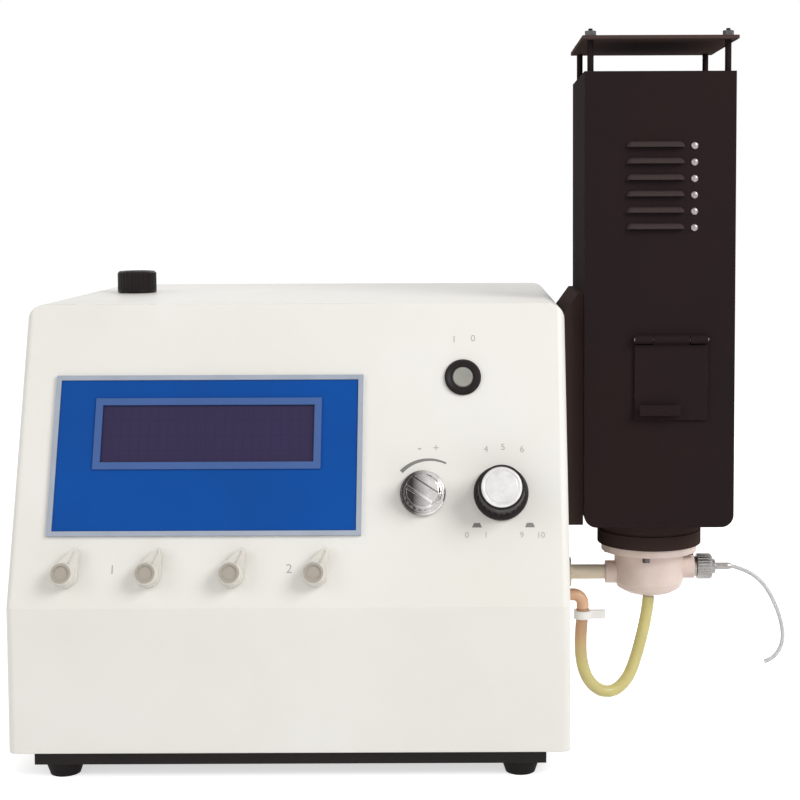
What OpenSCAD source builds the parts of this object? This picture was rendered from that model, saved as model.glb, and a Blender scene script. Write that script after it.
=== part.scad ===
// Flame photometer: a white bench cabinet with a sloped control front, a black
// burner chimney on its right side, a nebuliser and a looped gas hose.
// Millimetres. +Z is up, the control front faces -Y, the origin is on the bench
// under the middle of the instrument's bounding box.

/* [Cabinet] */
// Width of the cabinet across its front
cabinet_w = 374; // [360:1:390]
// Depth from the lower front face to the rear panel
cabinet_d = 337; // [320:1:360]
// Height of the cover from its lower edge to the flat top
cover_h = 294; // [285:1:305]
// Height of the upright lower part of the front
lower_h = 97.5; // [92:0.5:102]
// How far the sloped front runs back before it meets the top
slope_setback = 70.5; // [64:0.5:76]
// Outside bend radius of the two long top edges
top_bend_r = 12; // [9:1:14]
// Outside radius of the upright front edges
edge_r = 6; // [5:0.5:8]
// Thickness of the cabinet sheet
sheet_t = 1.5; // [1.2:0.1:2]
// Depth of the front panel's side and top returns
return_d = 15; // [13:1:17]
// Open seam between the front panel and the cover
seam = 0.4; // [0.3:0.1:0.8]
// Gap between sheets that nest in one another
sheet_fit = 0.15; // [0.1:0.05:0.3]

/* [Base] */
// Height of the cover's lower edge above the bench
cover_z = 20; // [18:0.5:24]
// Height of the feet
foot_h = 10; // [9:0.5:12]
// Diameter of a foot where it meets the tray
foot_top_d = 27; // [24:1:30]
// Diameter of a foot on the bench
foot_bottom_d = 20; // [18:1:23]
// Distance of the feet's centres from the cabinet's sides
foot_inset = 33; // [31:1:40]
// Gap between a foot and the front edge of the plinth
foot_edge = 0.8; // [0.5:0.1:4]
// How far the black plinth stands in from the cabinet's sides
plinth_inset = 16; // [14:1:18]
// Gap between the tray and the round front corners
corner_gap = 1; // [0.8:0.1:1.5]
// Gap between the front's folded lower lip and the plinth
plinth_gap = 1; // [0.8:0.1:1.5]
// Height of the tray's upturned lip
lip_h = 12; // [11:1:16]
// Thread diameter of the cover screws
screw_d = 4; // [3:0.5:5]
// Radial gap round a screw's shank
screw_fit = 0.15; // [0.1:0.05:0.3]

/* [Display] */
// Width of the front that is left to the right of the blue panel
panel_side = 142.7; // [138:0.1:147]
// Height of the blue display panel along the slope
panel_h = 103; // [98:1:108]
// Thickness of the blue display panel
panel_t = 1.6; // [1.2:0.1:2]
// Left edge of the blue panel from the cabinet's left side
panel_u = 28.3; // [24:0.1:32]
// Lower edge of the blue panel from the bend, along the slope
panel_v = 50.9; // [48:0.1:54]
// Width of the bezel round the blue panel
bezel_w = 3.5; // [3:0.5:5]
// How far the bezel stands off the front
bezel_t = 2.4; // [2:0.1:3]
// Width of the dark readout window
window_w = 144; // [136:1:150]
// Height of the dark readout window
window_h = 39; // [35:1:43]
// Thickness of the readout window
window_t = 3; // [2.5:0.5:4]
// Width of the rim round the readout window
rim_w = 5; // [4:0.5:6]

/* [Trim knobs] */
// First trim knob from the cabinet's left side
trim_u = 39.3; // [37:0.1:42]
// Spacing of the four trim knobs
trim_pitch = 55.2; // [54:0.1:57]
// Height of the trim knobs above the bend, along the slope
trim_v = 21.6; // [19:0.1:24]
// Diameter of a trim knob's hub
trim_hub_d = 17; // [16:0.5:19]
// Distance from the hub's centre to the end of the pointer
trim_tip = 19; // [17:0.5:21]
// How far a trim knob stands off the front
trim_l = 14; // [12:0.5:16]
// Angle of the pointers, clockwise from straight up
trim_turn = 24; // [0:1:60]

/* [Valve knobs and igniter] */
// Silver fine-flow knob from the cabinet's right side
fine_side = 98; // [94:1:104]
// Diameter of the silver fine-flow knob
fine_d = 30.6; // [28:0.2:33]
// How far the silver knob stands off the front
fine_l = 20; // [18:0.5:24]
// Width of the bar grip on the silver knob
grip_w = 9; // [8:0.5:10]
// Angle of the bar grip, clockwise from level
grip_turn = 33; // [0:1:60]
// Black fuel knob from the cabinet's right side
fuel_side = 45.5; // [41:0.5:52]
// Diameter of the black fuel knob's skirt
fuel_d = 37; // [34:1:40]
// How far the black fuel knob stands off the front
fuel_l = 26.5; // [24:0.5:29]
// Diameter of the silver disc on the fuel knob
fuel_cap_d = 27; // [24:0.5:28]
// Height of both valve knobs above the bend, along the slope
valve_v = 75.5; // [70:0.5:82]
// Diameter of the control shafts
shaft_d = 6; // [5:0.5:7]
// Radial running gap of the shafts
run_fit = 0.05; // [0.03:0.01:0.08]
// Igniter button from the cabinet's right side
button_side = 71; // [64:1:78]
// Height of the igniter button above the bend, along the slope
button_v = 155.6; // [150:0.2:160]
// Diameter of the igniter's black ring
button_ring_d = 25; // [23:0.5:28]
// Diameter of the igniter's push button
button_d = 14.8; // [13:0.2:16]
// Travel of the igniter's push button
button_travel = 3; // [2:0.5:4]

/* [Air regulator] */
// Regulator knob from the cabinet's left side
regulator_u = 46; // [44:1:60]
// Regulator knob behind the top edge of the sloped front
regulator_back = 142; // [128:1:156]
// Diameter of the regulator knob
regulator_d = 30; // [27:1:33]
// Height of the regulator knob
regulator_h = 17; // [15:0.5:20]

/* [Chimney] */
// Width of the chimney
chimney_w = 107.5; // [104:0.5:112]
// Depth of the chimney
chimney_d = 125; // [120:1:130]
// Height of the chimney's bottom above the bench
chimney_z = 150; // [146:1:154]
// Height of the chimney
chimney_h = 326; // [310:1:335]
// Gap between the cabinet and the chimney
chimney_gap = 15.6; // [14:0.2:18]
// How far the chimney stands back from the lower front face
chimney_back_y = 95; // [88:1:100]
// Outside radius of the chimney's lower corners
chimney_r = 9; // [7:0.5:11]
// Thickness of the chimney sheet
chimney_t = 1.5; // [1.2:0.1:2]
// Number of louvres
louvre_n = 6; // [4:1:7]
// Length of a louvre
louvre_l = 41.5; // [38:0.5:46]
// Louvres' centre, left of the chimney's middle
louvre_x = 3.5; // [0:0.5:6]
// Spacing of the louvres
louvre_pitch = 11.6; // [11:0.1:13]
// How far a louvre is pressed out
louvre_r = 4; // [3:0.5:5]
// Height of the top louvre above the bench
louvre_top_z = 422.5; // [410:0.5:430]
// Width of the sight door
door_w = 52; // [48:1:56]
// Height of the sight door
door_h = 58; // [54:1:62]
// Height of the sight door's hinge above the bench
door_z = 286; // [280:1:292]
// Sight door's centre, right of the chimney's middle
door_x = 8; // [4:1:12]
// Thickness of the sight door
door_t = 1.5; // [1.2:0.1:2]
// Diameter of the hinge pin
hinge_pin_d = 2.5; // [2:0.1:3]
// Height of the posts under the cap plate
post_h = 22.5; // [20:0.5:26]
// Diameter of the posts
post_d = 4.6; // [4:0.2:6]
// Distance of the posts from the chimney's sides
post_inset = 4.8; // [4.5:0.1:6]
// Thickness of the cap plate
cap_t = 2.5; // [2:0.5:4]
// How far the cap plate stands out past the chimney
cap_over = 1.5; // [1:0.5:3]

/* [Burner] */
// Diameter of the black collar under the chimney
collar_d = 78; // [74:1:80]
// Height of the black collar
collar_h = 23; // [21:1:25]
// Outside diameter of the flame glass
glass_d = 64; // [60:1:66]
// Wall of the flame glass
glass_t = 2.5; // [2:0.25:3]
// Height of the burner's top above the bench
burner_z = 197; // [190:1:202]
// Diameter of the burner's head
head_d = 36; // [34:1:38]
// Height of the light path above the bench
optic_z = 232; // [228:1:238]
// Diameter of the mixing chamber's flange
chamber_d = 72; // [68:1:74]
// Diameter of the mixing chamber's body
chamber_body_d = 52; // [50:1:54]
// Height of the mixing chamber's lower end above the bench
chamber_z = 84; // [82:1:86]
// Height of the nebuliser's axis above the bench
neb_z = 107; // [105:0.5:108]
// Diameter of the support arm
arm_d = 11; // [9:0.5:12]
// Height of the support arm's axis above the bench
arm_z = 103; // [101:0.5:105]
// Outside diameter of the gas hose
hose_d = 9; // [8:0.5:10]
// Outside diameter of the sample capillary
capillary_d = 3; // [2.5:0.25:4]

/* [Rear] */
// How far the hose tails stand out behind the rear panel
tail_l = 22; // [18:1:26]
// Diameter of the hose tails
tail_d = 8; // [6:0.5:9]

/* [Hidden] */
$fn = 48;
big = 900;
// The sloped front
break_z = cover_z + lower_h;
top_z = cover_z + cover_h;
slope_rise = cover_h - lower_h;
lean = atan(slope_setback / slope_rise);
slope_l = norm([slope_setback, slope_rise]);
// The instrument's reach past the cabinet, and the cabinet's corner
burner_reach = chimney_gap + chimney_w / 2;
neb_tip = 62.5;
side_reach = burner_reach + neb_tip;
trim_front = trim_l * cos(lean) - (trim_v - trim_hub_d / 2 + 2.2) * sin(lean);
cab_x = -(cabinet_w + side_reach) / 2;
cab_y = -(cabinet_d + tail_l + trim_front) / 2 + trim_front;
burner_x = cab_x + cabinet_w + burner_reach;
burner_y = cab_y + chimney_back_y + chimney_d / 2;
chimney_top = chimney_z + chimney_h;
optic_y = chimney_back_y + chimney_d / 2;
// Parts of the base
pan_z = foot_h;
flange_z = cover_z + sheet_t;
pan_floor = pan_z + sheet_t;
plinth_setback = edge_r + corner_gap;
front_lip_d = plinth_setback - plinth_gap;
foot_front_y = plinth_setback + foot_edge + foot_top_d / 2;
foot_rear_y = cabinet_d - plinth_inset - foot_edge - foot_top_d / 2;
side_screws = [62, cabinet_d / 2, cabinet_d - 49];
rear_screws = [60, cabinet_w / 2, cabinet_w - 60];
side_screw_z = flange_z + sheet_t + lip_h / 2;
// Places on the sloped front
panel_w = cabinet_w - panel_u - panel_side;
fine_u = cabinet_w - fine_side;
fuel_u = cabinet_w - fuel_side;
button_u = cabinet_w - button_side;
window_u = panel_u + panel_w / 2;
window_v = panel_v + panel_h * 0.64;
trim_places = [for (i = [0:3]) trim_u + i * trim_pitch];
nut_t = 2.2;
nut_d = 11;
bush_d = 9;
bush_hole = bush_d + 2 * screw_fit;
knob_gap = 0.6;
// Routes of the two soft tubes, from the burner's axis
hose_route = [[-51.5, -18, 80], [-52, -18, 70], [-53, -18, 58], [-51, -17, 38],
    [-43, -15, 21], [-30, -11, 13], [-19, -7, 21], [-10, -4, 40], [-4, -1, 60],
    [-1, 0, 74], [0, 0, 84]];
capillary_route = [[62.5, 0, 107], [70, -1, 105], [80, -3, 100.5],
    [88, -6, 92.5], [93, -8, 83.5], [96.5, -10, 75], [99, -12, 66],
    [100, -14, 56], [97.5, -15, 47], [92, -16, 40.5], [85.5, -16, 37.5]];

function unit(v) = v / norm(v);
function at(p, i) = p[max(0, min(len(p) - 1, i))];
function blend(p, i, t) = 0.5 * (2 * at(p, i) + (at(p, i + 1) - at(p, i - 1)) * t
    + (2 * at(p, i - 1) - 5 * at(p, i) + 4 * at(p, i + 1) - at(p, i + 2)) * t * t
    + (3 * at(p, i) - at(p, i - 1) - 3 * at(p, i + 1) + at(p, i + 2)) * t * t * t);
function fine_route(p, n) = concat(
    [for (i = [0:len(p) - 2]) for (k = [0:n - 1]) blend(p, i, k / n)],
    [p[len(p) - 1]]);
function ring(p, i, r, n) =
    let (along = unit(at(p, i + 1) - at(p, i - 1)))
    let (a = unit(cross(along, [0, 1, 0])), b = cross(along, a))
    [for (k = [0:n - 1]) p[i] + r * (cos(360 * k / n) * a + sin(360 * k / n) * b)];

// A round cord swept along a route
module cord(route, d, sides, steps) {
    path = fine_route(route, steps);
    rings = len(path);
    points = [for (i = [0:rings - 1]) each ring(path, i, d / 2, sides)];
    walls = [for (i = [0:rings - 2]) for (k = [0:sides - 1])
        let (m = (k + 1) % sides)
        [i * sides + k, i * sides + m, (i + 1) * sides + m, (i + 1) * sides + k]];
    ends = [[for (k = [sides - 1:-1:0]) k],
        [for (k = [0:sides - 1]) (rings - 1) * sides + k]];
    polyhedron(points, concat(walls, ends));
}

// Cabinet frame: x from the left side, y from the lower front face, z from the bench
module in_cabinet() {
    translate([cab_x, cab_y, 0]) children();
}

// Sloped front frame: x right, y up the slope, z straight out of the front
module on_slope(u, v) {
    in_cabinet() translate([u, 0, break_z]) rotate([90 - lean, 0, 0])
        translate([0, v, 0]) children();
}

// Burner frame: z is the burner's axis, from the bench
module at_burner() {
    translate([burner_x, burner_y, 0]) children();
}

// Turns a drawing of depth and height into a slab across the cabinet
module across(w) {
    rotate([90, 0, 90]) linear_extrude(w) children();
}

// Turns a drawing of width and height into a slab from front to back
module front_to_back(d) {
    translate([0, d, 0]) rotate([90, 0, 0]) linear_extrude(d) children();
}

// A cylinder along +X
module along_x(r, h) {
    rotate([0, 90, 0]) cylinder(r = r, h = h);
}

// Evenly spaced copies round Z
module around(n) {
    for (i = [0:n - 1]) rotate([0, 0, i * 360 / n]) children();
}

// What a round corner of radius r leaves out at [0, 0]
module corner_cut(r) {
    difference() {
        translate([-1, -1]) square(r + 1);
        translate([r, r]) circle(r);
    }
}

// The cabinet's plan with its rounded front corners, inset by i
module plan_outline(i) {
    r = edge_r - i;
    difference() {
        translate([i, i]) square([cabinet_w - 2 * i, cabinet_d + 150]);
        translate([i, i]) corner_cut(r);
        translate([cabinet_w - i, i]) rotate(90) corner_cut(r);
    }
}

// The cabinet's front view with its rounded top corners, inset by i
module face_outline(i) {
    r = top_bend_r - i;
    difference() {
        translate([i, -20]) square([cabinet_w - 2 * i, top_z + 20 - i]);
        translate([i, top_z - i]) rotate(-90) corner_cut(r);
        translate([cabinet_w - i, top_z - i]) rotate(180) corner_cut(r);
    }
}

// The cabinet as one block, inset by i and longer at the rear by e: the space that an
// upright prism, a prism along the slope and the front view share
module cabinet_block(i, e) {
    intersection() {
        translate([0, 0, -20]) linear_extrude(top_z + 80) plan_outline(i);
        translate([0, 0, break_z]) rotate([-lean, 0, 0]) translate([0, 0, -slope_l - 200])
            linear_extrude(2 * slope_l + 400) plan_outline(i);
        translate([0, -30, 0]) front_to_back(cabinet_d + e + 30) face_outline(i);
    }
}

// The cabinet's skin down to its lower edge
module cabinet_skin() {
    difference() {
        cabinet_block(0, 0);
        cabinet_block(sheet_t, 5);
        translate([-50, -50, -50]) cube([cabinet_w + 100, cabinet_d + 100, cover_z + 50]);
    }
}

// Everything within d of the front face
module front_zone(d) {
    reach = top_z + 30 - break_z;
    translate([-20, 0, 0]) across(cabinet_w + 40) polygon([[-60, 0], [d, 0],
        [d, break_z - d * tan(lean / 2)],
        [reach * tan(lean) + d / cos(lean), break_z + reach], [-60, break_z + reach]]);
}

// Shell pieces

module front_panel() {
    color("WhiteSmoke") difference() {
        union() {
            in_cabinet() intersection() {
                cabinet_skin();
                front_zone(return_d);
            }
            in_cabinet() translate([edge_r, sheet_t / 2, cover_z])
                cube([cabinet_w - 2 * edge_r, front_lip_d - sheet_t / 2, sheet_t]);
        }
        on_slope(window_u, window_v) cube([window_w + 4, window_h + 4, 20], center = true);
        for (u = trim_places) on_slope(u, trim_v) cylinder(d = bush_hole, h = 20, center = true);
        for (u = [fine_u, fuel_u]) on_slope(u, valve_v)
            cylinder(d = bush_hole, h = 20, center = true);
        on_slope(button_u, button_v)
            cylinder(d = button_ring_d - 3 + 2 * screw_fit, h = 20, center = true);
    }
}

module top_cover() {
    color("WhiteSmoke") in_cabinet() difference() {
        cabinet_skin();
        front_zone(return_d + seam);
        translate([regulator_u, slope_setback + regulator_back, top_z - 10])
            cylinder(d = 12 + 2 * screw_fit, h = 20);
        translate([cabinet_w - 10, optic_y, optic_z]) along_x(18, 20);
        translate([cabinet_w - 10, optic_y, arm_z]) along_x(4, 20);
        translate([cabinet_w - 10, optic_y - 18, elbow_z]) along_x(4.5 + screw_fit, 20);
        for (y = side_screws) translate([-10, y, side_screw_z])
            along_x(screw_d / 2 + screw_fit, cabinet_w + 20);
    }
}

vent_l = 52;
vent_gap = 18;

module rear_panel() {
    inset = sheet_t + sheet_fit;
    color("WhiteSmoke") in_cabinet() difference() {
        intersection() {
            translate([0, cabinet_d - sheet_t, 0]) front_to_back(sheet_t) face_outline(inset);
            translate([0, 0, cover_z]) cube([big, big, big]);
        }
        translate([inlet_x - inlet_w / 2 - inlet_fit, cabinet_d - 10, inlet_z - inlet_h / 2 - inlet_fit])
            cube([inlet_w + 2 * inlet_fit, 20, inlet_h + 2 * inlet_fit]);
        for (p = tail_places) translate([p[0], cabinet_d - 10, p[1]]) rotate([-90, 0, 0])
            cylinder(d = bush_hole, h = 20);
        for (i = [0:7]) for (x = [-vent_l - vent_gap / 2, vent_gap / 2])
            translate([cabinet_w / 2 + x, cabinet_d - 10, 120 + i * 12]) cube([vent_l, 20, 4]);
        for (x = rear_screws) translate([x, cabinet_d - 10, side_screw_z])
            rotate([-90, 0, 0]) cylinder(d = screw_d + 2 * screw_fit, h = 20);
    }
}

module base_tray() {
    in = sheet_t + sheet_fit;
    lip_y = plinth_setback;
    lip_w = cabinet_w - 2 * in;
    lip_d = cabinet_d - lip_y - in;
    pan_w = cabinet_w - 2 * plinth_inset;
    pan_d = cabinet_d - plinth_setback - plinth_inset;
    color("#262223") in_cabinet() difference() {
        union() {
            translate([in, lip_y, flange_z]) cube([lip_w, lip_d, sheet_t + lip_h]);
            translate([edge_r + 4, in, flange_z])
                cube([cabinet_w - 2 * edge_r - 8, lip_y - in + sheet_t, sheet_t]);
            translate([plinth_inset, plinth_setback, pan_z])
                cube([pan_w, pan_d, flange_z - pan_z + sheet_t / 2]);
        }
        translate([in + sheet_t, lip_y + sheet_t, flange_z + sheet_t])
            cube([lip_w - 2 * sheet_t, lip_d - 2 * sheet_t, 40]);
        translate([plinth_inset + sheet_t, plinth_setback + sheet_t, pan_floor])
            cube([pan_w - 2 * sheet_t, pan_d - 2 * sheet_t, 40]);
        for (y = side_screws) translate([-10, y, side_screw_z])
            along_x(screw_d / 2 + screw_fit, cabinet_w + 20);
        for (x = rear_screws) translate([x, cabinet_d - 20, side_screw_z])
            rotate([-90, 0, 0]) cylinder(d = screw_d + 2 * screw_fit, h = 40);
    }
}

module foot() {
    difference() {
        cylinder(d1 = foot_bottom_d, d2 = foot_top_d, h = foot_h);
        translate([0, 0, -1]) cylinder(d = 7, h = 5);
    }
}

module rubber_feet() {
    color("#1C1A1B") in_cabinet() for (x = [foot_inset, cabinet_w - foot_inset])
        for (y = [foot_front_y, foot_rear_y]) translate([x, y, 0]) foot();
}

// A pan-head screw with a cross recess, its head's seat at z = 0
module cover_screw() {
    difference() {
        union() {
            cylinder(d1 = screw_d * 2, d2 = screw_d * 1.5, h = 2.4);
            translate([0, 0, -8]) cylinder(d = screw_d, h = 8.5);
        }
        for (a = [0, 90]) rotate([0, 0, a]) translate([-2, -0.5, 1]) cube([4, 1, 3]);
    }
}

module cover_screws() {
    color("Silver") in_cabinet() {
        for (y = side_screws) {
            translate([0, y, side_screw_z]) rotate([0, -90, 0]) cover_screw();
            translate([cabinet_w, y, side_screw_z]) rotate([0, 90, 0]) cover_screw();
        }
        for (x = rear_screws) translate([x, cabinet_d, side_screw_z])
            rotate([-90, 0, 0]) cover_screw();
    }
}

// Display

module display_bezel() {
    w = panel_w + 2 * bezel_w;
    h = panel_h + 2 * bezel_w;
    color("Gainsboro") on_slope(panel_u + panel_w / 2, panel_v + panel_h / 2) difference() {
        translate([0, 0, bezel_t / 2]) cube([w, h, bezel_t], center = true);
        cube([panel_w + 2 * sheet_fit, panel_h + 2 * sheet_fit, 20], center = true);
    }
}

module display_overlay() {
    color("#1450A0") difference() {
        on_slope(panel_u, panel_v) cube([panel_w, panel_h, panel_t]);
        on_slope(window_u, window_v)
            cube([window_w + 2 * sheet_fit, window_h + 2 * sheet_fit, 20], center = true);
    }
}

module window_rim() {
    color("#5878B8") on_slope(window_u, window_v) translate([0, 0, panel_t]) difference() {
        translate([0, 0, 0.6]) cube([window_w + 2 * rim_w, window_h + 2 * rim_w, 1.2], center = true);
        cube([window_w + 2 * sheet_fit, window_h + 2 * sheet_fit, 20], center = true);
    }
}

module display_window() {
    color("#3A3050") on_slope(window_u, window_v) {
        translate([0, 0, panel_t - 1.2 - sheet_t / 2])
            cube([window_w, window_h, window_t - 0.2], center = true);
    }
}

module display_board() {
    w = window_w + 32;
    h = window_h + 23;
    color("DarkGreen") on_slope(window_u, window_v) {
        translate([0, 0, -13]) cube([w, h, 1.6], center = true);
        for (x = [-window_w / 4, window_w / 4]) translate([x, 0, -8.2])
            cube([window_w / 2 - 6, window_h - 13, 8.2], center = true);
        for (x = [6 - w / 2, w / 2 - 6]) for (y = [4 - h / 2, h / 2 - 4])
            translate([x, y, -12.5]) cylinder(d = 6, h = 12.5 - sheet_t);
    }
}

// Trim controls

module trim_pots() {
    color("Gray") for (u = trim_places) on_slope(u, trim_v) difference() {
        union() {
            translate([0, 0, -sheet_t - 9]) cylinder(d = 17, h = 9);
            translate([0, 0, -sheet_t - 1]) cylinder(d = bush_d, h = sheet_t + nut_t + 1.4);
            cylinder(d = nut_d + 2, h = nut_t, $fn = 6);
            translate([-5, -13, -sheet_t - 6]) cube([10, 6, 1.6]);
        }
        translate([0, 0, -sheet_t - 6]) cylinder(d = shaft_d + 2 * run_fit, h = 30);
    }
}

// Outline of a pointer knob that points up
module pointer_outline() {
    r = trim_hub_d / 2;
    tip_r = 1.8;
    far = trim_tip - tip_r;
    tilt = asin((r - tip_r) / far);
    circle(r);
    translate([0, far]) circle(tip_r);
    polygon([[-0.99 * r * cos(tilt), 0.99 * r * sin(tilt)],
        [-0.96 * tip_r * cos(tilt), far + 0.96 * tip_r * sin(tilt)],
        [0.96 * tip_r * cos(tilt), far + 0.96 * tip_r * sin(tilt)],
        [0.99 * r * cos(tilt), 0.99 * r * sin(tilt)]]);
}

module trim_knob(i) {
    r = trim_hub_d / 2;
    arm_low = bezel_t + knob_gap;
    color("Gainsboro") on_slope(trim_places[i], trim_v) rotate([0, 0, -trim_turn]) {
        difference() {
            union() {
                translate([0, 0, knob_gap]) cylinder(r = r - 0.3, h = trim_l * 0.5);
                translate([0, 0, arm_low]) linear_extrude(trim_l * 0.55 + knob_gap - arm_low)
                    pointer_outline();
                translate([0, 0, trim_l * 0.5]) cylinder(r1 = r - 0.4, r2 = r - 1.2, h = trim_l * 0.4);
                translate([0, 0, trim_l * 0.9]) cylinder(r1 = r - 1.2, r2 = r - 2.2, h = trim_l * 0.1);
            }
            translate([0, 0, -1]) cylinder(d = nut_d + 3, h = nut_t + 3.2);
            translate([0, 0, trim_l - 0.8]) cylinder(r = r - 3.6, h = 5);
            translate([-0.6, r * 0.55, trim_l * 0.55 + knob_gap - 0.5])
                cube([1.2, trim_tip - r * 0.55 - 2.5, 4]);
        }
        translate([0, 0, -sheet_t - 5]) cylinder(d = shaft_d, h = sheet_t + 5 + trim_l * 0.6);
    }
}

module trim_knob_1() trim_knob(0);
module trim_knob_2() trim_knob(1);
module trim_knob_3() trim_knob(2);
module trim_knob_4() trim_knob(3);

// Igniter

button_flange = button_d + 3;
button_lift = 1.6;
button_seat = -5;

module ignition_switch() {
    barrel = button_ring_d - 3;
    stop = button_seat - 2 - button_travel - 0.6;
    color("#22241E") on_slope(button_u, button_v) difference() {
        union() {
            rotate_extrude() polygon([[0, 0], [button_ring_d / 2, 0], [button_ring_d / 2, 1.6],
                [button_ring_d / 2 - 1.6, 3.2], [button_d / 2 + 1, 2.4], [0, 2.4]]);
            translate([0, 0, -30]) cylinder(d = barrel, h = 31);
            translate([0, 0, -sheet_t - 4]) cylinder(d = button_ring_d + 7, h = 4, $fn = 6);
            for (x = [-4, 4]) translate([x - 0.4, -3, -38]) cube([0.8, 6, 10]);
        }
        translate([0, 0, stop]) cylinder(d = button_flange + 0.6, h = button_seat - stop);
        translate([0, 0, button_seat - 1]) cylinder(d = button_d + 0.2, h = 20);
    }
}

module ignition_button() {
    color("#A6A89E") on_slope(button_u, button_v) difference() {
        union() {
            translate([0, 0, button_seat - 2]) cylinder(d = button_flange, h = 1.9);
            translate([0, 0, button_seat - 0.5]) cylinder(d = button_d, h = button_lift - button_seat);
            translate([0, 0, button_lift - 0.5])
                cylinder(d1 = button_d, d2 = button_d - 1.6, h = 0.8);
        }
        translate([0, 0, button_lift + 30 - 0.3]) sphere(r = 30);
    }
}

// Fuel valve and fine-flow valve

// A needle valve behind the front, with a bush through the sheet and a nut on it
module needle_valve(port) {
    color("Goldenrod") difference() {
        union() {
            translate([-11, -11, -sheet_t - 30]) cube([22, 22, 30]);
            translate([0, 0, -sheet_t - 1]) cylinder(d = bush_d, h = sheet_t + nut_t + 1.4);
            cylinder(d = nut_d + 3, h = nut_t, $fn = 6);
            translate([0, 0, -sheet_t - 20]) rotate([0, 90 * port, 0]) cylinder(d = 10, h = 17);
            translate([0, 0, -sheet_t - 20]) rotate([90, 0, 0]) cylinder(d = 10, h = 17);
        }
        translate([0, 0, -sheet_t - 24]) cylinder(d = shaft_d + 2 * run_fit, h = 60);
    }
}

module fuel_valve() {
    on_slope(fuel_u, valve_v) needle_valve(-1);
}

module fine_valve() {
    on_slope(fine_u, valve_v) needle_valve(1);
}

module valve_stem(top) {
    color("Gold") translate([0, 0, -sheet_t - 17]) {
        translate([0, 0, -5]) cylinder(d1 = 1.5, d2 = shaft_d, h = 5);
        cylinder(d = shaft_d, h = sheet_t + 17 + top);
    }
}

module fuel_valve_stem() {
    on_slope(fuel_u, valve_v) valve_stem(fuel_l - 5);
}

module fine_valve_stem() {
    on_slope(fine_u, valve_v) valve_stem(fine_l - 5);
}

module fuel_knob() {
    body_r = fuel_d / 2 - 2.6;
    color("#1E1A1B") on_slope(fuel_u, valve_v) difference() {
        rotate_extrude() polygon([[0, knob_gap], [fuel_d / 2, knob_gap], [fuel_d / 2, 3],
            [fuel_d / 2 - 0.8, 4.6], [body_r + 0.6, 5.2], [body_r, 6.2],
            [body_r - 0.8, fuel_l - 1.2], [body_r - 1.8, fuel_l], [0, fuel_l]]);
        around(24) translate([body_r + 0.5, 0, 6.6]) cylinder(r = 1.1, h = fuel_l, $fn = 24);
        translate([0, 0, -1]) cylinder(d = nut_d + 5, h = nut_t + 3.6);
        translate([0, 0, -1]) cylinder(d = shaft_d, h = fuel_l - 4);
        translate([0, 0, fuel_l - 1.2]) cylinder(d = fuel_cap_d + 0.2, h = 10);
        translate([-0.6, fuel_d / 2 - 2.5, 4.2]) cube([1.2, 5, 3]);
    }
}

module fuel_knob_cap() {
    color("Silver") on_slope(fuel_u, valve_v) difference() {
        translate([0, 0, fuel_l - 1.2]) rotate_extrude() polygon([[0, 0], [fuel_cap_d / 2, 0],
            [fuel_cap_d / 2, 1.3], [fuel_cap_d / 2 - 0.7, 2], [0, 2]]);
        translate([0, 0, fuel_l + 0.4]) difference() {
            cylinder(d = fuel_cap_d - 4, h = 3);
            translate([0, 0, -1]) cylinder(d = fuel_cap_d - 6, h = 5);
        }
    }
}

module fine_knob() {
    r = fine_d / 2;
    body_l = fine_l * 0.6;
    color("Silver") on_slope(fine_u, valve_v) difference() {
        union() {
            rotate_extrude() polygon([[0, knob_gap], [r, knob_gap], [r, 3.4], [r - 0.8, 4.2],
                [r - 2.6, 4.6], [r - 3, 6], [r - 3.4, body_l - 1.2], [r - 4.6, body_l], [0, body_l]]);
            rotate([0, 0, -grip_turn]) intersection() {
                translate([-r, 0, 0]) across(2 * r) polygon([[-grip_w / 2, body_l - 2],
                    [grip_w / 2, body_l - 2], [grip_w / 2, fine_l - 1.4],
                    [grip_w / 2 - 1.4, fine_l], [1.4 - grip_w / 2, fine_l],
                    [-grip_w / 2, fine_l - 1.4]]);
                cylinder(r1 = r - 2.6, r2 = r - 4.4, h = fine_l + 1);
            }
        }
        around(20) translate([r - 2.6, 0, 6.4]) cylinder(r = 1, h = body_l - 8.4, $fn = 24);
        translate([0, 0, -1]) cylinder(d = nut_d + 5, h = nut_t + 3.6);
        translate([0, 0, -1]) cylinder(d = shaft_d, h = fine_l - 4);
    }
}

// Air regulator

module in_regulator() {
    in_cabinet() translate([regulator_u, slope_setback + regulator_back, top_z]) children();
}

module air_regulator_knob() {
    color("#211D1E") in_regulator() {
        difference() {
            rotate_extrude() polygon([[0, knob_gap], [regulator_d / 2, knob_gap],
                [regulator_d / 2, regulator_h - 1.5], [regulator_d / 2 - 1.5, regulator_h],
                [0, regulator_h]]);
            around(30) translate([regulator_d / 2 + 0.5, 0, 2.4])
                cylinder(r = 1.1, h = regulator_h, $fn = 24);
            translate([0, 0, -1]) cylinder(d = 19, h = 6);
            translate([0, 0, regulator_h - 0.8]) cylinder(d = regulator_d - 9, h = 5);
        }
        translate([0, 0, -14]) cylinder(d = shaft_d, h = 24);
    }
}

module air_regulator() {
    color("Silver") in_regulator() difference() {
        union() {
            translate([0, 0, -sheet_t - 1]) cylinder(d = 12, h = sheet_t + 5);
            cylinder(d = 17, h = 3, $fn = 6);
            translate([0, 0, -sheet_t - 26]) cylinder(d = 36, h = 26);
            translate([-21, -21, -sheet_t - 54]) cube([42, 42, 29]);
            translate([0, 15, -sheet_t - 40]) rotate([-90, 0, 0]) cylinder(d = 12, h = 12);
            translate([15, 0, -sheet_t - 40]) along_x(6, 12);
        }
        translate([0, 0, -16]) cylinder(d = shaft_d + 2 * run_fit, h = 40);
    }
}

// Chimney

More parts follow.
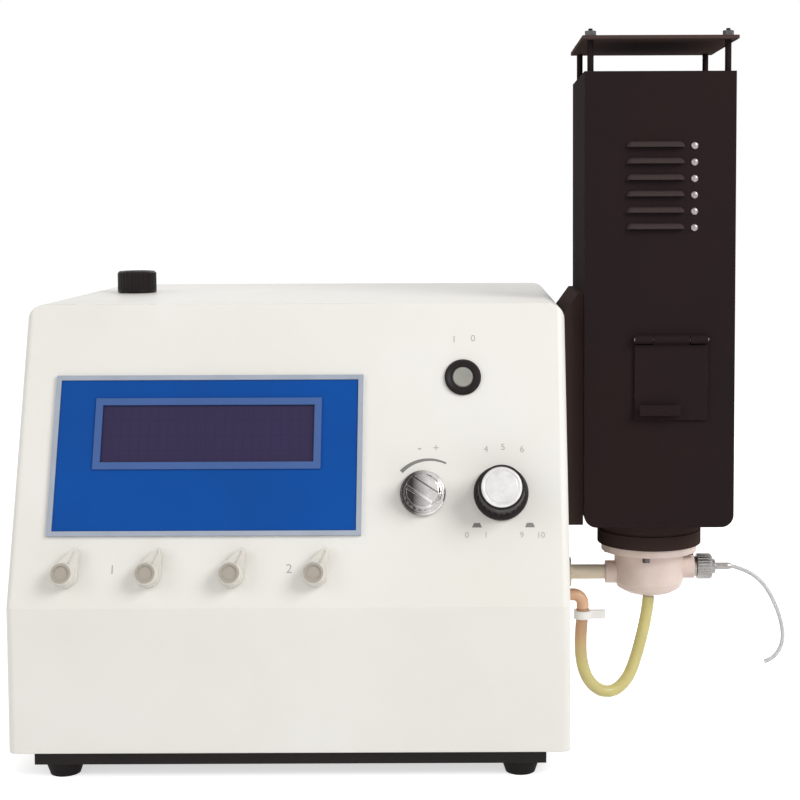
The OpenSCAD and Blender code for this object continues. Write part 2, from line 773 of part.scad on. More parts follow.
// Front view of the chimney with rounded lower corners, inset by i, open upward by e
module chimney_outline(i, e) {
    r = chimney_r - i;
    w = chimney_w / 2 - i;
    translate([-w, chimney_z + i + r]) square([2 * w, chimney_h - i - r + e]);
    translate([-w + r, chimney_z + i]) square([2 * w - 2 * r, chimney_h - i + e]);
    translate([-w + r, chimney_z + i + r]) circle(r);
    translate([w - r, chimney_z + i + r]) rotate(180) circle(r);
}

module chimney_shell() {
    fy = chimney_d / 2;
    color("#2C2324") at_burner() difference() {
        union() {
            translate([0, -fy + chimney_t, 0]) difference() {
                front_to_back(chimney_d - chimney_t) chimney_outline(0, 0);
                translate([0, -5, 0])
                    front_to_back(chimney_d - 2 * chimney_t + 5) chimney_outline(chimney_t, 10);
            }
            translate([-chimney_w / 2 + 1, -fy + chimney_t, chimney_top - chimney_t])
                cube([chimney_w - 2, chimney_d - chimney_t - 1, chimney_t]);
        }
        translate([0, 0, chimney_top - 10]) cylinder(d = glass_d + 12, h = 20);
        translate([0, 0, chimney_z - 10]) cylinder(d = glass_d + 5, h = 20);
        translate([-chimney_w / 2 - 10, 0, optic_z]) along_x(18, 20);
    }
}

// A louvre: a quarter-round hood with round ends, open underneath
module louvre_profile(r, l) {
    intersection() {
        union() {
            translate([-r, -l / 2 + r]) square([2 * r, l - 2 * r]);
            translate([0, -l / 2 + r]) rotate(90) circle(r);
            translate([0, l / 2 - r]) rotate(-90) circle(r);
        }
        translate([0, -l]) square([2 * r, 2 * l]);
    }
}

module louvre_hood() {
    rotate([90, 0, 90]) rotate_extrude(angle = 90) difference() {
        louvre_profile(louvre_r, louvre_l);
        louvre_profile(louvre_r - 1, louvre_l - 2);
    }
}

hinge_r = hinge_pin_d / 2 + 1.75;
hinge_y = -chimney_d / 2 - hinge_r - 0.2;
hinge_gap = 0.4;
door_mid = door_w * 0.5;

module chimney_front() {
    fy = chimney_d / 2;
    knuckle = (door_w - door_mid) / 2 - hinge_gap;
    color("#2C2324") at_burner() {
        difference() {
            translate([0, -fy, 0]) front_to_back(chimney_t) chimney_outline(0, 0);
            translate([door_x - door_w / 2 + 4, -fy - 5, door_z - door_h + 4])
                cube([door_w - 8, 10, door_h - 10]);
            for (i = [0:louvre_n - 1])
                translate([-louvre_l / 2 + 3 - louvre_x, -fy - 5, louvre_top_z - i * louvre_pitch])
                    cube([louvre_l - 6, 10, louvre_r - 1.6]);
        }
        for (i = [0:louvre_n - 1])
            translate([-louvre_x, -fy + 0.2, louvre_top_z - i * louvre_pitch]) mirror([0, 1, 0])
                louvre_hood();
        for (s = [-1, 1]) translate([door_x + s * (door_w - knuckle) / 2, 0, door_z])
            difference() {
                union() {
                    translate([-knuckle / 2, hinge_y, 0]) along_x(hinge_r, knuckle);
                    translate([-knuckle / 2, hinge_y, 0])
                        cube([knuckle, -fy - hinge_y + 0.5, hinge_r - 0.6]);
                }
                translate([-knuckle, hinge_y, 0]) along_x(hinge_pin_d / 2 + 0.02, 2 * knuckle);
            }
    }
}

module chimney_door() {
    color("#2E2526") at_burner() translate([door_x, 0, door_z]) difference() {
        union() {
            translate([-door_mid / 2, hinge_y, 0]) along_x(hinge_r, door_mid);
            translate([-door_mid / 2, hinge_y + hinge_r - door_t - 0.3, -6])
                cube([door_mid, door_t, 6]);
            translate([-door_w / 2, hinge_y + hinge_r - door_t - 0.3, -door_h])
                cube([door_w, door_t, door_h - hinge_r - 1]);
            translate([-door_w / 2 + 3, hinge_y + hinge_r - door_t - 6, -door_h + 4])
                cube([29, 6, 2]);
            translate([-door_w / 2 + 3, hinge_y + hinge_r - door_t - 6, -door_h + 4])
                cube([29, 1.6, 7.5]);
        }
        translate([-door_w, hinge_y, 0]) along_x(hinge_pin_d / 2 + run_fit, 2 * door_w);
    }
}

module door_hinge_pin() {
    color("Silver") at_burner() translate([door_x - door_w / 2 - 0.5, hinge_y, door_z])
        along_x(hinge_pin_d / 2, door_w + 1);
}

post_x = chimney_w / 2 - post_inset;
post_y = chimney_d / 2 - 9;

module cap_posts() {
    color("#3A3030") at_burner() for (x = [-post_x, post_x]) for (y = [-post_y, post_y])
        translate([x, y, chimney_top]) {
            cylinder(d = post_d, h = post_h);
            translate([0, 0, post_h - 1]) cylinder(d = post_d - 1.6, h = cap_t + 6.6);
        }
}

module cap_plate() {
    w = chimney_w + 2 * cap_over;
    d = chimney_d + 2 * cap_over;
    color("#33292A") at_burner() difference() {
        translate([-w / 2, -d / 2, chimney_top + post_h]) cube([w, d, cap_t]);
        for (x = [-post_x, post_x]) for (y = [-post_y, post_y])
            translate([x, y, chimney_top]) cylinder(d = post_d - 1.3, h = post_h + 20);
    }
}

module cap_nuts() {
    color("#4A4040") at_burner() for (x = [-post_x, post_x]) for (y = [-post_y, post_y])
        translate([x, y, chimney_top + post_h + cap_t]) difference() {
            cylinder(d = 8, h = 4, $fn = 6);
            translate([0, 0, -1]) cylinder(d = post_d - 1.3, h = 8);
        }
}

module chimney_spacer() {
    y0 = -chimney_d / 2 + 10;
    d = chimney_d - 20;
    color("#241E1F") at_burner() difference() {
        translate([-burner_reach, y0, 0]) front_to_back(d) polygon([[0, arm_z - 14],
            [6, arm_z - 14], [6, chimney_z], [chimney_gap, chimney_z],
            [chimney_gap, top_z + 4], [chimney_gap - 4, top_z + 4], [0, top_z - 12]]);
        translate([-burner_reach - 1, 0, optic_z]) along_x(18, chimney_gap + 2);
        translate([-burner_reach - 1, y0 - 1, 0]) cube([10, d / 2 - 26, chimney_z]);
        translate([-burner_reach - 1, 28, 0]) cube([10, d, chimney_z]);
        translate([-burner_reach - 1, 0, arm_z]) along_x(4, 20);
        translate([-burner_reach - 1, -18, elbow_z]) along_x(9.3, 20);
    }
}

// Burner

module flame_glass() {
    color("AliceBlue", 0.4) at_burner() translate([0, 0, chimney_z]) difference() {
        cylinder(d = glass_d, h = chimney_h - 8);
        translate([0, 0, -1]) cylinder(d = glass_d - 2 * glass_t, h = chimney_h);
    }
}

tube_d = head_d - 8;
bore_d = 20;
socket_d = 34;

module burner_collar() {
    color("#241E1F") at_burner() translate([0, 0, chimney_z - collar_h]) difference() {
        union() {
            cylinder(d = collar_d, h = collar_h);
            translate([0, 0, collar_h - 1]) cylinder(d = glass_d - 2 * glass_t - 0.6, h = 5);
        }
        translate([0, 0, -1]) cylinder(d = socket_d + 0.6, h = collar_h + 20);
        translate([0, 0, collar_h * 0.45]) difference() {
            cylinder(d = collar_d + 5, h = 2);
            translate([0, 0, -1]) cylinder(d = collar_d - 2, h = 4);
        }
        translate([0, 23, collar_h - 6]) cylinder(d = 4.2, h = 30);
    }
}

module burner_head() {
    z0 = chimney_z - collar_h;
    color("Silver") at_burner() difference() {
        union() {
            translate([0, 0, z0]) cylinder(d = socket_d, h = collar_h + 2);
            translate([0, 0, z0]) cylinder(d = tube_d, h = burner_z - z0 - 4);
            translate([0, 0, burner_z - 12]) cylinder(d = head_d, h = 12);
        }
        translate([0, 0, z0 - 1]) cylinder(d = bore_d, h = burner_z - z0 - 6);
        translate([0, 0, burner_z - 20]) {
            cylinder(d = 2.4, h = 40);
            around(6) translate([4.2, 0, 0]) cylinder(d = 2.4, h = 40);
            around(12) translate([8.2, 0, 0]) cylinder(d = 2.4, h = 40);
        }
    }
}

chamber_top = chimney_z - collar_h;
spigot_z = chamber_z + 5;
chamber_wall = 6;
chamber_screw_r = (chamber_d + chamber_body_d) / 4;
chamber_screw_turns = [-100, -10, 80, 170];

module mixing_chamber() {
    r = chamber_body_d / 2;
    in_r = r - chamber_wall;
    color("#D8CCC4") at_burner() difference() {
        union() {
            rotate_extrude() polygon([[0, chamber_z], [3.4, chamber_z], [3.4, spigot_z],
                [r - 8, spigot_z], [r - 2, spigot_z + 3.5], [r, spigot_z + 8],
                [r, chamber_top - 6], [chamber_d / 2, chamber_top - 6],
                [chamber_d / 2, chamber_top], [0, chamber_top]]);
            translate([15, 0, neb_z]) along_x(9, 19);
            translate([-33, 0, arm_z]) along_x(8.5, 18);
        }
        rotate_extrude() polygon([[0, chamber_z - 1], [2, chamber_z - 1], [2, spigot_z + 4],
            [in_r, spigot_z + 9], [in_r, chamber_top - 8], [bore_d / 2, chamber_top - 4],
            [bore_d / 2, chamber_top + 1], [0, chamber_top + 1]]);
        translate([10, 0, neb_z]) along_x(6, 40);
        translate([-40, 0, arm_z]) along_x(arm_d / 2, 16);
        translate([-40, 0, arm_z]) along_x(3, 30);
        for (a = chamber_screw_turns) rotate([0, 0, a])
            translate([chamber_screw_r, 0, chamber_top - 8]) cylinder(d = 3 + 2 * screw_fit, h = 40);
    }
}

module chamber_screws() {
    color("#3A3838") at_burner() for (a = chamber_screw_turns) rotate([0, 0, a])
        translate([chamber_screw_r, 0, chamber_top - 6]) difference() {
            union() {
                translate([0, 0, -4]) cylinder(d = 5.5, h = 4);
                translate([0, 0, -1]) cylinder(d = 3, h = 6.8);
            }
            translate([0, 0, -5]) cylinder(d = 2.8, h = 3, $fn = 6);
        }
}

module igniter_electrode() {
    color("Ivory") at_burner() translate([0, 23, 0]) {
        translate([0, 0, chimney_z - 5]) cylinder(d = 4, h = 6);
        translate([0, 0, chimney_z + 4]) cylinder(d = 6, h = burner_z - chimney_z - 10);
        translate([0, 0, chimney_z]) cylinder(d = 4, h = 6);
        translate([0, 0, burner_z - 8]) cylinder(d = 1.6, h = 16);
        translate([0, 0.4, burner_z + 7]) rotate([90, 0, 0]) cylinder(d = 1.6, h = 13);
    }
}

module support_arm() {
    color("#CFC6B4") at_burner() difference() {
        union() {
            translate([-burner_reach + 6, 0, arm_z]) along_x(11, 4);
            translate([-burner_reach + 6, 0, arm_z]) along_x(arm_d / 2, burner_reach - 6 - 24);
            translate([-burner_reach - 12, 0, arm_z]) along_x(3.8, 20);
        }
        translate([-burner_reach - 20, 0, arm_z]) along_x(2.5, burner_reach);
    }
}

module nebulizer_body() {
    color("#B8B4B0") at_burner() translate([0, 0, neb_z]) rotate([0, 90, 0]) difference() {
        rotate_extrude() polygon([[0, 14], [2, 14], [5.9, 20], [5.9, 34], [7.5, 34], [7.5, 36],
            [5.5, 36], [5.5, 50], [2.6, 51], [2.6, 60], [2.2, neb_tip], [0, neb_tip]]);
        translate([0, 0, 10]) cylinder(d = 1.6, h = 52.5);
    }
}

module nebulizer_nut() {
    color("#8C8884") at_burner() translate([36.2, 0, neb_z]) rotate([0, 90, 0]) difference() {
        rotate_extrude() polygon([[5.5 + run_fit, 0], [9, 0], [9.6, 0.8], [9.6, 10],
            [8.6, 11.4], [5.5 + run_fit, 11.4]]);
        around(24) translate([9.9, 0, -1]) cylinder(r = 0.7, h = 20, $fn = 24);
    }
}

elbow_z = 90;
elbow_x = -51.5;

module gas_elbow() {
    bend_r = 7;
    color("#E0C4A8") at_burner() translate([0, -18, 0]) {
        translate([-burner_reach - 10, 0, elbow_z]) along_x(4.5, burner_reach + 10 + elbow_x - bend_r);
        translate([-burner_reach, 0, elbow_z]) along_x(8, 5, $fn = 6);
        translate([elbow_x - bend_r, 0, elbow_z - bend_r]) rotate([90, 0, 0])
            rotate_extrude(angle = 90) translate([bend_r, 0]) circle(4.5);
        translate([elbow_x, 0, 80]) cylinder(d = 9, h = elbow_z - bend_r - 80);
    }
}

module hose_clip() {
    color("White") at_burner() translate([elbow_x, -18, 72]) difference() {
        union() {
            cylinder(d = hose_d + 4, h = 6);
            translate([0, -2, 0]) cube([17, 4, 6]);
        }
        translate([0, 0, -1]) cylinder(d = hose_d + 0.6, h = 10);
    }
}

module gas_hose() {
    color("#D8CF90") at_burner() cord(hose_route, hose_d, 12, 2);
}

module sample_capillary() {
    color("Azure", 0.5) at_burner() cord(capillary_route, capillary_d, 8, 2);
}

// Optics behind the light path

wall_x = cabinet_w - sheet_t;
barrel_l = 50;
block_s = 60;

module at_optics() {
    in_cabinet() translate([wall_x, optic_y, optic_z]) children();
}

module lens_barrel() {
    color("#202020") at_optics() difference() {
        union() {
            translate([-3, 0, 0]) along_x(28, 3);
            translate([-barrel_l, 0, 0]) along_x(20, barrel_l);
        }
        translate([-barrel_l - 1, 0, 0]) along_x(15, barrel_l + 10);
        translate([-24, 0, 0]) along_x(17, 40);
    }
}

module condenser_lens() {
    color("LightCyan", 0.6) at_optics() translate([-20, 0, 0]) rotate([0, 90, 0])
        rotate_extrude() intersection() {
            translate([0, -4]) square([17 - run_fit, 8]);
            translate([0, 54]) circle(r = 58, $fn = 240);
            translate([0, -54]) circle(r = 58, $fn = 240);
        }
}

module filter_block() {
    color("#303030") at_optics() translate([-barrel_l - block_s, -block_s / 2, -block_s / 2])
        difference() {
            cube(block_s);
            translate([-1, block_s / 2, block_s / 2]) along_x(15, block_s + 2);
            translate([block_s / 2, block_s / 2, block_s / 2]) rotate([-90, 0, 0])
                cylinder(r = 15, h = block_s);
            translate([-1, block_s / 2, block_s / 2]) along_x(17, 7);
            translate([block_s / 2, block_s - 6, block_s / 2]) rotate([-90, 0, 0])
                cylinder(r = 17, h = 10);
        }
}

module optical_filters() {
    color("#B06030") at_optics() {
        translate([-barrel_l - block_s, 0, 0]) along_x(17 - run_fit, 6);
        translate([-barrel_l - block_s / 2, block_s / 2 - 6, 0]) rotate([-90, 0, 0])
            cylinder(r = 17 - run_fit, h = 6);
    }
}

module photocells() {
    color("#505860") at_optics() {
        translate([-barrel_l - block_s - 14, 0, 0]) {
            along_x(15, 14);
            translate([-1.6, -22, -22]) cube([1.6, 44, 44]);
        }
        translate([-barrel_l - block_s / 2, block_s / 2, 0]) {
            rotate([-90, 0, 0]) cylinder(r = 15, h = 14);
            translate([-22, 14, -22]) cube([44, 1.6, 44]);
        }
    }
}

// Electronics and supply

module main_board() {
    w = cabinet_w - 194;
    d = cabinet_d - 197;
    color("DarkGreen") in_cabinet() translate([150, 70, pan_floor]) {
        for (x = [6, w - 6]) for (y = [6, d - 6]) translate([x, y, 0]) cylinder(d = 7, h = 6.5);
        translate([0, 0, 6]) cube([w, d, 1.6]);
        for (x = [w / 6, w * 0.42, w * 0.67]) {
            translate([x, d * 0.29, 7]) cube([w * 0.15, 12, 5]);
            translate([x, d * 0.57, 7]) cube([w * 0.11, 8, 5]);
        }
        for (y = [0.21, 0.43, 0.64]) translate([w * 0.09, d * y, 7]) cylinder(d = 12, h = 18);
        translate([w * 0.86, d * 0.21, 7]) cube([6, d * 0.43, 22]);
    }
}

module transformer() {
    color("DimGray") in_cabinet() translate([plinth_inset + 34, cabinet_d - 147, pan_floor]) {
        cube([76, 60, 2]);
        translate([8, 8, 1]) cube([60, 44, 50]);
        translate([16, 2, 12]) cube([44, 56, 30]);
    }
}

inlet_x = 110;
inlet_z = 70;
inlet_w = 27.6;
inlet_h = 51.6;
inlet_fit = 0.2;
rocker_z = inlet_z + 14;
tail_places = [[fuel_u, 70], [regulator_u, top_z - sheet_t - 40]];

module in_inlet() {
    in_cabinet() translate([inlet_x, cabinet_d, 0]) children();
}

module mains_inlet() {
    color("#1E1E1E") in_inlet() {
        difference() {
            union() {
                translate([-inlet_w / 2 - 3.2, 0, inlet_z - inlet_h / 2 - 4.2])
                    cube([inlet_w + 6.4, 3, inlet_h + 8.4]);
                translate([-inlet_w / 2, -28, inlet_z - inlet_h / 2]) cube([inlet_w, 29, inlet_h]);
            }
            translate([-12, -16, inlet_z - 23]) cube([24, 40, 17]);
            translate([-6.8, -16, rocker_z - 11]) cube([13.6, 40, 22]);
            translate([-8.4, -3, rocker_z]) along_x(1.5 + run_fit, 16.8);
        }
        for (x = [-7, 0, 7]) translate([x - 1, -17, inlet_z - 14.5 + (x == 0 ? 3 : -3)])
            cube([2, 12, 4]);
    }
}

module power_rocker() {
    color("#2A2A2A") in_inlet() translate([0, -3, rocker_z]) rotate([8, 0, 0]) {
        intersection() {
            translate([-6.4, 0, 0]) along_x(10.2, 12.8);
            translate([-6.4, 0, 0]) across(12.8)
                polygon([[-6, -10], [7.4, -10], [5.6, 0], [7.4, 10], [-6, 10]]);
        }
        translate([-8.2, 0, 0]) along_x(1.5, 16.4);
    }
}

module hose_tails() {
    color("Goldenrod") in_cabinet() for (p = tail_places)
        translate([p[0], cabinet_d, p[1]]) rotate([-90, 0, 0]) difference() {
            union() {
                cylinder(d = 16, h = 5, $fn = 6);
                translate([0, 0, 4]) cylinder(d = tail_d, h = tail_l - 5.5);
                translate([0, 0, tail_l - 1.5]) cylinder(d1 = tail_d, d2 = tail_d - 2, h = 1.5);
                translate([0, 0, -14]) cylinder(d = bush_d, h = 15);
                translate([0, 0, -sheet_t - 4]) cylinder(d = 14, h = 4, $fn = 6);
            }
            translate([0, 0, -20]) cylinder(d = 4, h = tail_l + 30);
        }
}

// A rigid pipe through a list of points, with a ball elbow at each corner
module pipe(points, d) {
    for (i = [0:len(points) - 2]) {
        leg = points[i + 1] - points[i];
        translate(points[i])
            rotate([0, acos(leg[2] / norm(leg)), atan2(leg[1], leg[0])])
                cylinder(d = d, h = norm(leg));
    }
    for (i = [1:1:len(points) - 2]) translate(points[i]) sphere(d = d + 2);
}

module fuel_pipes() {
    port = sheet_t + 20;
    y = valve_v * sin(lean) + port * cos(lean);
    z = break_z + valve_v * cos(lean) - port * sin(lean);
    color("Peru") {
        in_cabinet() pipe([[fuel_u, cabinet_d - 14, 70], [fuel_u, y + 30, 70],
            [fuel_u, y + 30, 110], [fuel_u, y - 17 * sin(lean), 110],
            [fuel_u, y - 17 * sin(lean), z - 17 * cos(lean)]], 6);
        in_cabinet() pipe([[fine_u + 17, y, z], [fuel_u - 17, y, z]], 6);
        in_cabinet() pipe([[fine_u, y - 17 * sin(lean), z - 17 * cos(lean)],
            [fine_u, y - 17 * sin(lean), elbow_z], [fine_u, optic_y - 18, elbow_z],
            [cabinet_w - 10, optic_y - 18, elbow_z]], 6);
    }
}

module air_pipes() {
    rx = regulator_u;
    ry = slope_setback + regulator_back;
    rz = top_z - sheet_t - 40;
    color("Peru") in_cabinet() {
        pipe([[rx, ry + 27, rz], [rx, cabinet_d - 14, rz]], 6);
        pipe([[rx + 27, ry, rz], [rx + 60, ry, rz], [rx + 60, ry, arm_z],
            [rx + 60, optic_y, arm_z], [cabinet_w - 12, optic_y, arm_z]], 6);
    }
}

base_tray();
rubber_feet();
front_panel();
top_cover();
rear_panel();
cover_screws();
display_bezel();
display_overlay();
window_rim();
display_window();
display_board();
trim_pots();
trim_knob_1();
trim_knob_2();
trim_knob_3();
trim_knob_4();
ignition_switch();
ignition_button();
fuel_knob();
fuel_knob_cap();
fuel_valve_stem();
fuel_valve();
fine_knob();
fine_valve_stem();
fine_valve();
air_regulator_knob();
air_regulator();
chimney_spacer();
chimney_shell();
chimney_front();
chimney_door();
door_hinge_pin();
cap_posts();
cap_plate();
cap_nuts();
flame_glass();
burner_collar();
burner_head();
mixing_chamber();
chamber_screws();
igniter_electrode();
support_arm();
nebulizer_body();
nebulizer_nut();
gas_elbow();
hose_clip();
gas_hose();
sample_capillary();
lens_barrel();
condenser_lens();
filter_block();
optical_filters();
photocells();
main_board();
transformer();
mains_inlet();
power_rocker();
hose_tails();
fuel_pipes();
air_pipes();
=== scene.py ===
"""Looks of a bench flame photometer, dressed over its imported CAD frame."""

import logging
import math
from abc import ABC, abstractmethod
from dataclasses import dataclass
from enum import Enum
from typing import ClassVar

import bmesh
import bpy
from mathutils import Matrix, Vector


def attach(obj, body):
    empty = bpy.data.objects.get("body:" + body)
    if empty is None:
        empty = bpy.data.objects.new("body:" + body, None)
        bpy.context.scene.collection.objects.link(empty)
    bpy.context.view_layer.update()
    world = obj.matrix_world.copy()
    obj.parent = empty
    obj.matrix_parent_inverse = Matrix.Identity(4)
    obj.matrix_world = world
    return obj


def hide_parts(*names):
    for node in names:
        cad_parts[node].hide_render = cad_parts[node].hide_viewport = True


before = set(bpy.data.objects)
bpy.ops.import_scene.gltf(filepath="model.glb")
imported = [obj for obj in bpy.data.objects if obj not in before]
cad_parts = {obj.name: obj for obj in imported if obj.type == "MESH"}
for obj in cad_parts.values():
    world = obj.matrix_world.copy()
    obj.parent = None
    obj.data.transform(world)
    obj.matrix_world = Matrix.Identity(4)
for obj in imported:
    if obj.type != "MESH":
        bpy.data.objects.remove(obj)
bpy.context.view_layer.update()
LOG = logging.getLogger("flame_photometer")

Colour = tuple[float, float, float]
Point = tuple[float, float, float]
Span = tuple[float, float]
Socket = bpy.types.NodeSocket

# Places of the instrument in metres, as in the part's source
CABINET_X = -0.252925
CABINET_Y = -0.175495
BREAK_Z = 0.1175
SLOPE_BACK, SLOPE_RISE = 0.0705, 0.1965
LEAN = math.atan2(SLOPE_BACK, SLOPE_RISE)
SLOPE_TURN = (math.pi / 2 - LEAN, 0.0, 0.0)
BURNER = Vector((0.190425, -0.017995, 0.0))
CHIMNEY_REACH = 0.0625
CHIMNEY_FRONT = BURNER.y - CHIMNEY_REACH
NEBULISER_Z = 0.107
TRIM_U, TRIM_V, TRIM_PITCH = 0.0393, 0.0216, 0.0552
FINE_U, FUEL_U, VALVE_V = 0.276, 0.3285, 0.0755

# Stretches of values and a colour that many nodes share
NOISE_MIDDLE: Span = (0.3, 0.7)
RISING: Span = (0.0, 1.0)
FALLING: Span = (1.0, 0.0)
WHITE: Colour = (1.0, 1.0, 1.0)


def linear(red: int, green: int, blue: int) -> Colour:
    """Turns a colour of 0 to 255 steps into Blender's linear light, by the sRGB curve.

    Args:
        red: red step.
        green: green step.
        blue: blue step.

    Returns:
        The three linear values.
    """
    def channel(step: int) -> float:
        """One channel in linear light."""
        share = step / 255.0
        return share / 12.92 if share <= 0.04045 else ((share + 0.055) / 1.055) ** 2.4
    return channel(red), channel(green), channel(blue)


def darker(colour: Colour, share: float) -> Colour:
    """A share of a colour's light."""
    return tuple(share * part for part in colour)


def on_slope(u: float, v: float) -> Matrix:
    """Frame of a place on the sloped front: x right, y up the slope, z outward.

    Args:
        u: distance from the cabinet's left side.
        v: distance up the slope from the bend.

    Returns:
        The matrix from that frame to the part's frame.
    """
    place = Vector((CABINET_X + u, CABINET_Y + v * math.sin(LEAN), BREAK_Z + v * math.cos(LEAN)))
    return Matrix.Translation(place) @ Matrix.Rotation(SLOPE_TURN[0], 4, "X")


def slope_point(u: float, v: float) -> Point:
    """A place on the sloped front as a point in the part's frame."""
    return tuple(on_slope(u, v).translation)


def add_object(name: str, data: bpy.types.ID) -> bpy.types.Object:
    """Puts a new object into the scene.

    Args:
        name: the object's name.
        data: its mesh, curve, camera or lamp.

    Returns:
        The object, at the origin.
    """
    made = bpy.data.objects.new(name, data)
    bpy.context.scene.collection.objects.link(made)
    return made


class NodeSheet:
    """The nodes of a material or of the world, with short calls for those that are shared."""

    EDGE_SAMPLES = 4
    EDGE_DOT: Span = (0.99, 0.86)
    MIX_SHARE, MIX_UNDER, MIX_OVER, MIX_COLOUR = 0, 6, 7, 2

    def __init__(self, owner: bpy.types.ID, shader: str = "Principled BSDF") -> None:
        """Starts a sheet.

        Args:
            owner: the material or the world.
            shader: the name of its main shader.
        """
        owner.use_nodes = True
        self.tree = owner.node_tree
        self.shader = self.tree.nodes[shader]

    def add(self, kind: str, inputs: dict[str | int, object] | None = None,
            **settings: object) -> bpy.types.Node:
        """Adds a node.

        Args:
            kind: the node's type name, without the ShaderNode prefix.
            inputs: outputs or values for its sockets, by name or number.
            settings: values for the node's own properties.

        Returns:
            The new node.
        """
        node = self.tree.nodes.new("ShaderNode" + kind)
        for key, value in settings.items():
            setattr(node, key, value)
        for key, value in (inputs or {}).items():
            self.feed(node.inputs[key], value)
        return node

    def feed(self, socket: Socket | str, value: object) -> None:
        """Links an output to a socket, or sets the socket's own value.

        Args:
            socket: an input socket, or the name of a socket of the main shader.
            value: an output socket, a number or a colour.
        """
        target = self.shader.inputs[socket] if isinstance(socket, str) else socket
        if isinstance(value, Socket):
            self.tree.links.new(value, target)
        elif isinstance(value, tuple) and target.type == "RGBA":
            target.default_value = (*value, 1.0)
        else:
            target.default_value = value

    def coords(self, centre: Point = (0, 0, 0), turn: Point = (0, 0, 0),
               scale: Point = (1, 1, 1)) -> Socket:
        """Object coordinates, seen from a frame of the piece's own.

        Args:
            centre: the frame's origin.
            turn: the frame's Euler angles.
            scale: size of one unit along each axis of the frame.

        Returns:
            The vector output.
        """
        source = self.add("TexCoord").outputs["Object"]
        return self.add("Mapping", {"Vector": source, "Location": centre, "Rotation": turn,
                                    "Scale": scale}, vector_type="TEXTURE").outputs["Vector"]

    def split(self, vector: Socket) -> tuple[Socket, ...]:
        """The x, y and z of a vector."""
        return tuple(self.add("SeparateXYZ", {0: vector}).outputs)

    def noise(self, vector: Socket, scale: float, detail: float = 3.0,
              roughness: float = 0.55) -> Socket:
        """Noise from 0 to 1 over a vector.

        Args:
            vector: where to read it.
            scale: features per metre.
            detail: octaves.
            roughness: weight of the finer octaves.

        Returns:
            The factor output.
        """
        return self.add("TexNoise", {"Vector": vector, "Scale": scale, "Detail": detail,
                                     "Roughness": roughness}).outputs["Fac"]

    def bricks(self, vector: Socket, size: Span, gap: float, cell: Colour, line: Colour,
               shift: float = 0.0) -> bpy.types.Node:
        """Rows of cells with lines between them.

        Args:
            vector: where to read it.
            size: width and height of a cell.
            gap: width of the lines.
            cell: colour of the cells.
            line: colour of the lines.
            shift: share of a cell by which every second row is moved.

        Returns:
            The node, whose outputs are Color and Fac.
        """
        return self.add("TexBrick", {"Vector": vector, "Scale": 1.0, "Mortar Size": gap,
                                     "Brick Width": size[0], "Row Height": size[1],
                                     "Color1": cell, "Color2": cell, "Mortar": line},
                        offset=shift, squash=1.0)

    def span(self, value: Socket, reach: Span, result: Span) -> Socket:
        """Maps a stretch of a value onto another, clamped.

        Args:
            value: the input.
            reach: start and end of the input's stretch.
            result: outputs at that start and end.

        Returns:
            The mapped output.
        """
        return self.add("MapRange", {"Value": value, "From Min": reach[0], "From Max": reach[1],
                                     "To Min": result[0], "To Max": result[1]}).outputs["Result"]

    def maths(self, step: str, first: object, second: object = 0.5) -> Socket:
        """One step of arithmetic.

        Args:
            step: the operation's name.
            first: first value.
            second: second value.

        Returns:
            The result.
        """
        return self.add("Math", {0: first, 1: second}, operation=step).outputs[0]

    def distance(self, first: Socket, second: Socket) -> Socket:
        """Distance from an axis, from the two coordinates across it."""
        squares = (self.maths("POWER", part, 2.0) for part in (first, second))
        return self.maths("SQRT", self.maths("ADD", *squares))

    def mix(self, share: Socket, under: object, over: object) -> Socket:
        """Mixes two colours.

        Args:
            share: how much of the second shows.
            under: first colour.
            over: second colour.

        Returns:
            The colour output.
        """
        return self.add("Mix", {self.MIX_SHARE: share, self.MIX_UNDER: under,
                                self.MIX_OVER: over}, data_type="RGBA").outputs[self.MIX_COLOUR]

    def soft_edges(self, radius: float) -> tuple[Socket, Socket]:
        """Rounds the look of sharp edges and finds them.

        Args:
            radius: radius of the rounding.

        Returns:
            The rounded normal, and a mask that is 1 on edges and 0 on flats.
        """
        rounded = self.add("Bevel", {"Radius": radius},
                           samples=self.EDGE_SAMPLES).outputs["Normal"]
        flat = self.add("NewGeometry").outputs["Normal"]
        dot = self.add("VectorMath", {0: rounded, 1: flat}, operation="DOT_PRODUCT")
        return rounded, self.span(dot.outputs["Value"], self.EDGE_DOT, RISING)

    def bump(self, height: Socket, depth: float, strength: float,
             normal: Socket | None = None) -> Socket:
        """Relief from a height.

        Args:
            height: the height from 0 to 1.
            depth: what a height of 1 means, in metres.
            strength: how much of it shows.
            normal: the normal that it stands on.

        Returns:
            The normal output.
        """
        node = self.add("Bump", {"Height": height, "Distance": depth, "Strength": strength})
        if normal is not None:
            self.feed(node.inputs["Normal"], normal)
        return node.outputs["Normal"]

    def seen(self) -> Socket:
        """A mask that is 1 for camera, glossy and transmission rays."""
        rays = self.add("LightPath").outputs
        mirrored = self.maths("MAXIMUM", rays["Is Glossy Ray"], rays["Is Transmission Ray"])
        return self.maths("MAXIMUM", rays["Is Camera Ray"], mirrored)


@dataclass(frozen=True)
class Finish(ABC):
    """A finish: one procedural material that is made once and shared."""

    name: str
    colour: Colour

    def material(self) -> bpy.types.Material:
        """Gives the finish's material, which is made at its first use.

        Returns:
            The material.
        """
        label = "finish_" + self.name
        made = bpy.data.materials.get(label)
        if made is None:
            made = bpy.data.materials.new(label)
            self.dress(NodeSheet(made))
        return made

    @abstractmethod
    def dress(self, sheet: NodeSheet) -> None:
        """Fills the material's nodes; each kind of finish has its own way."""


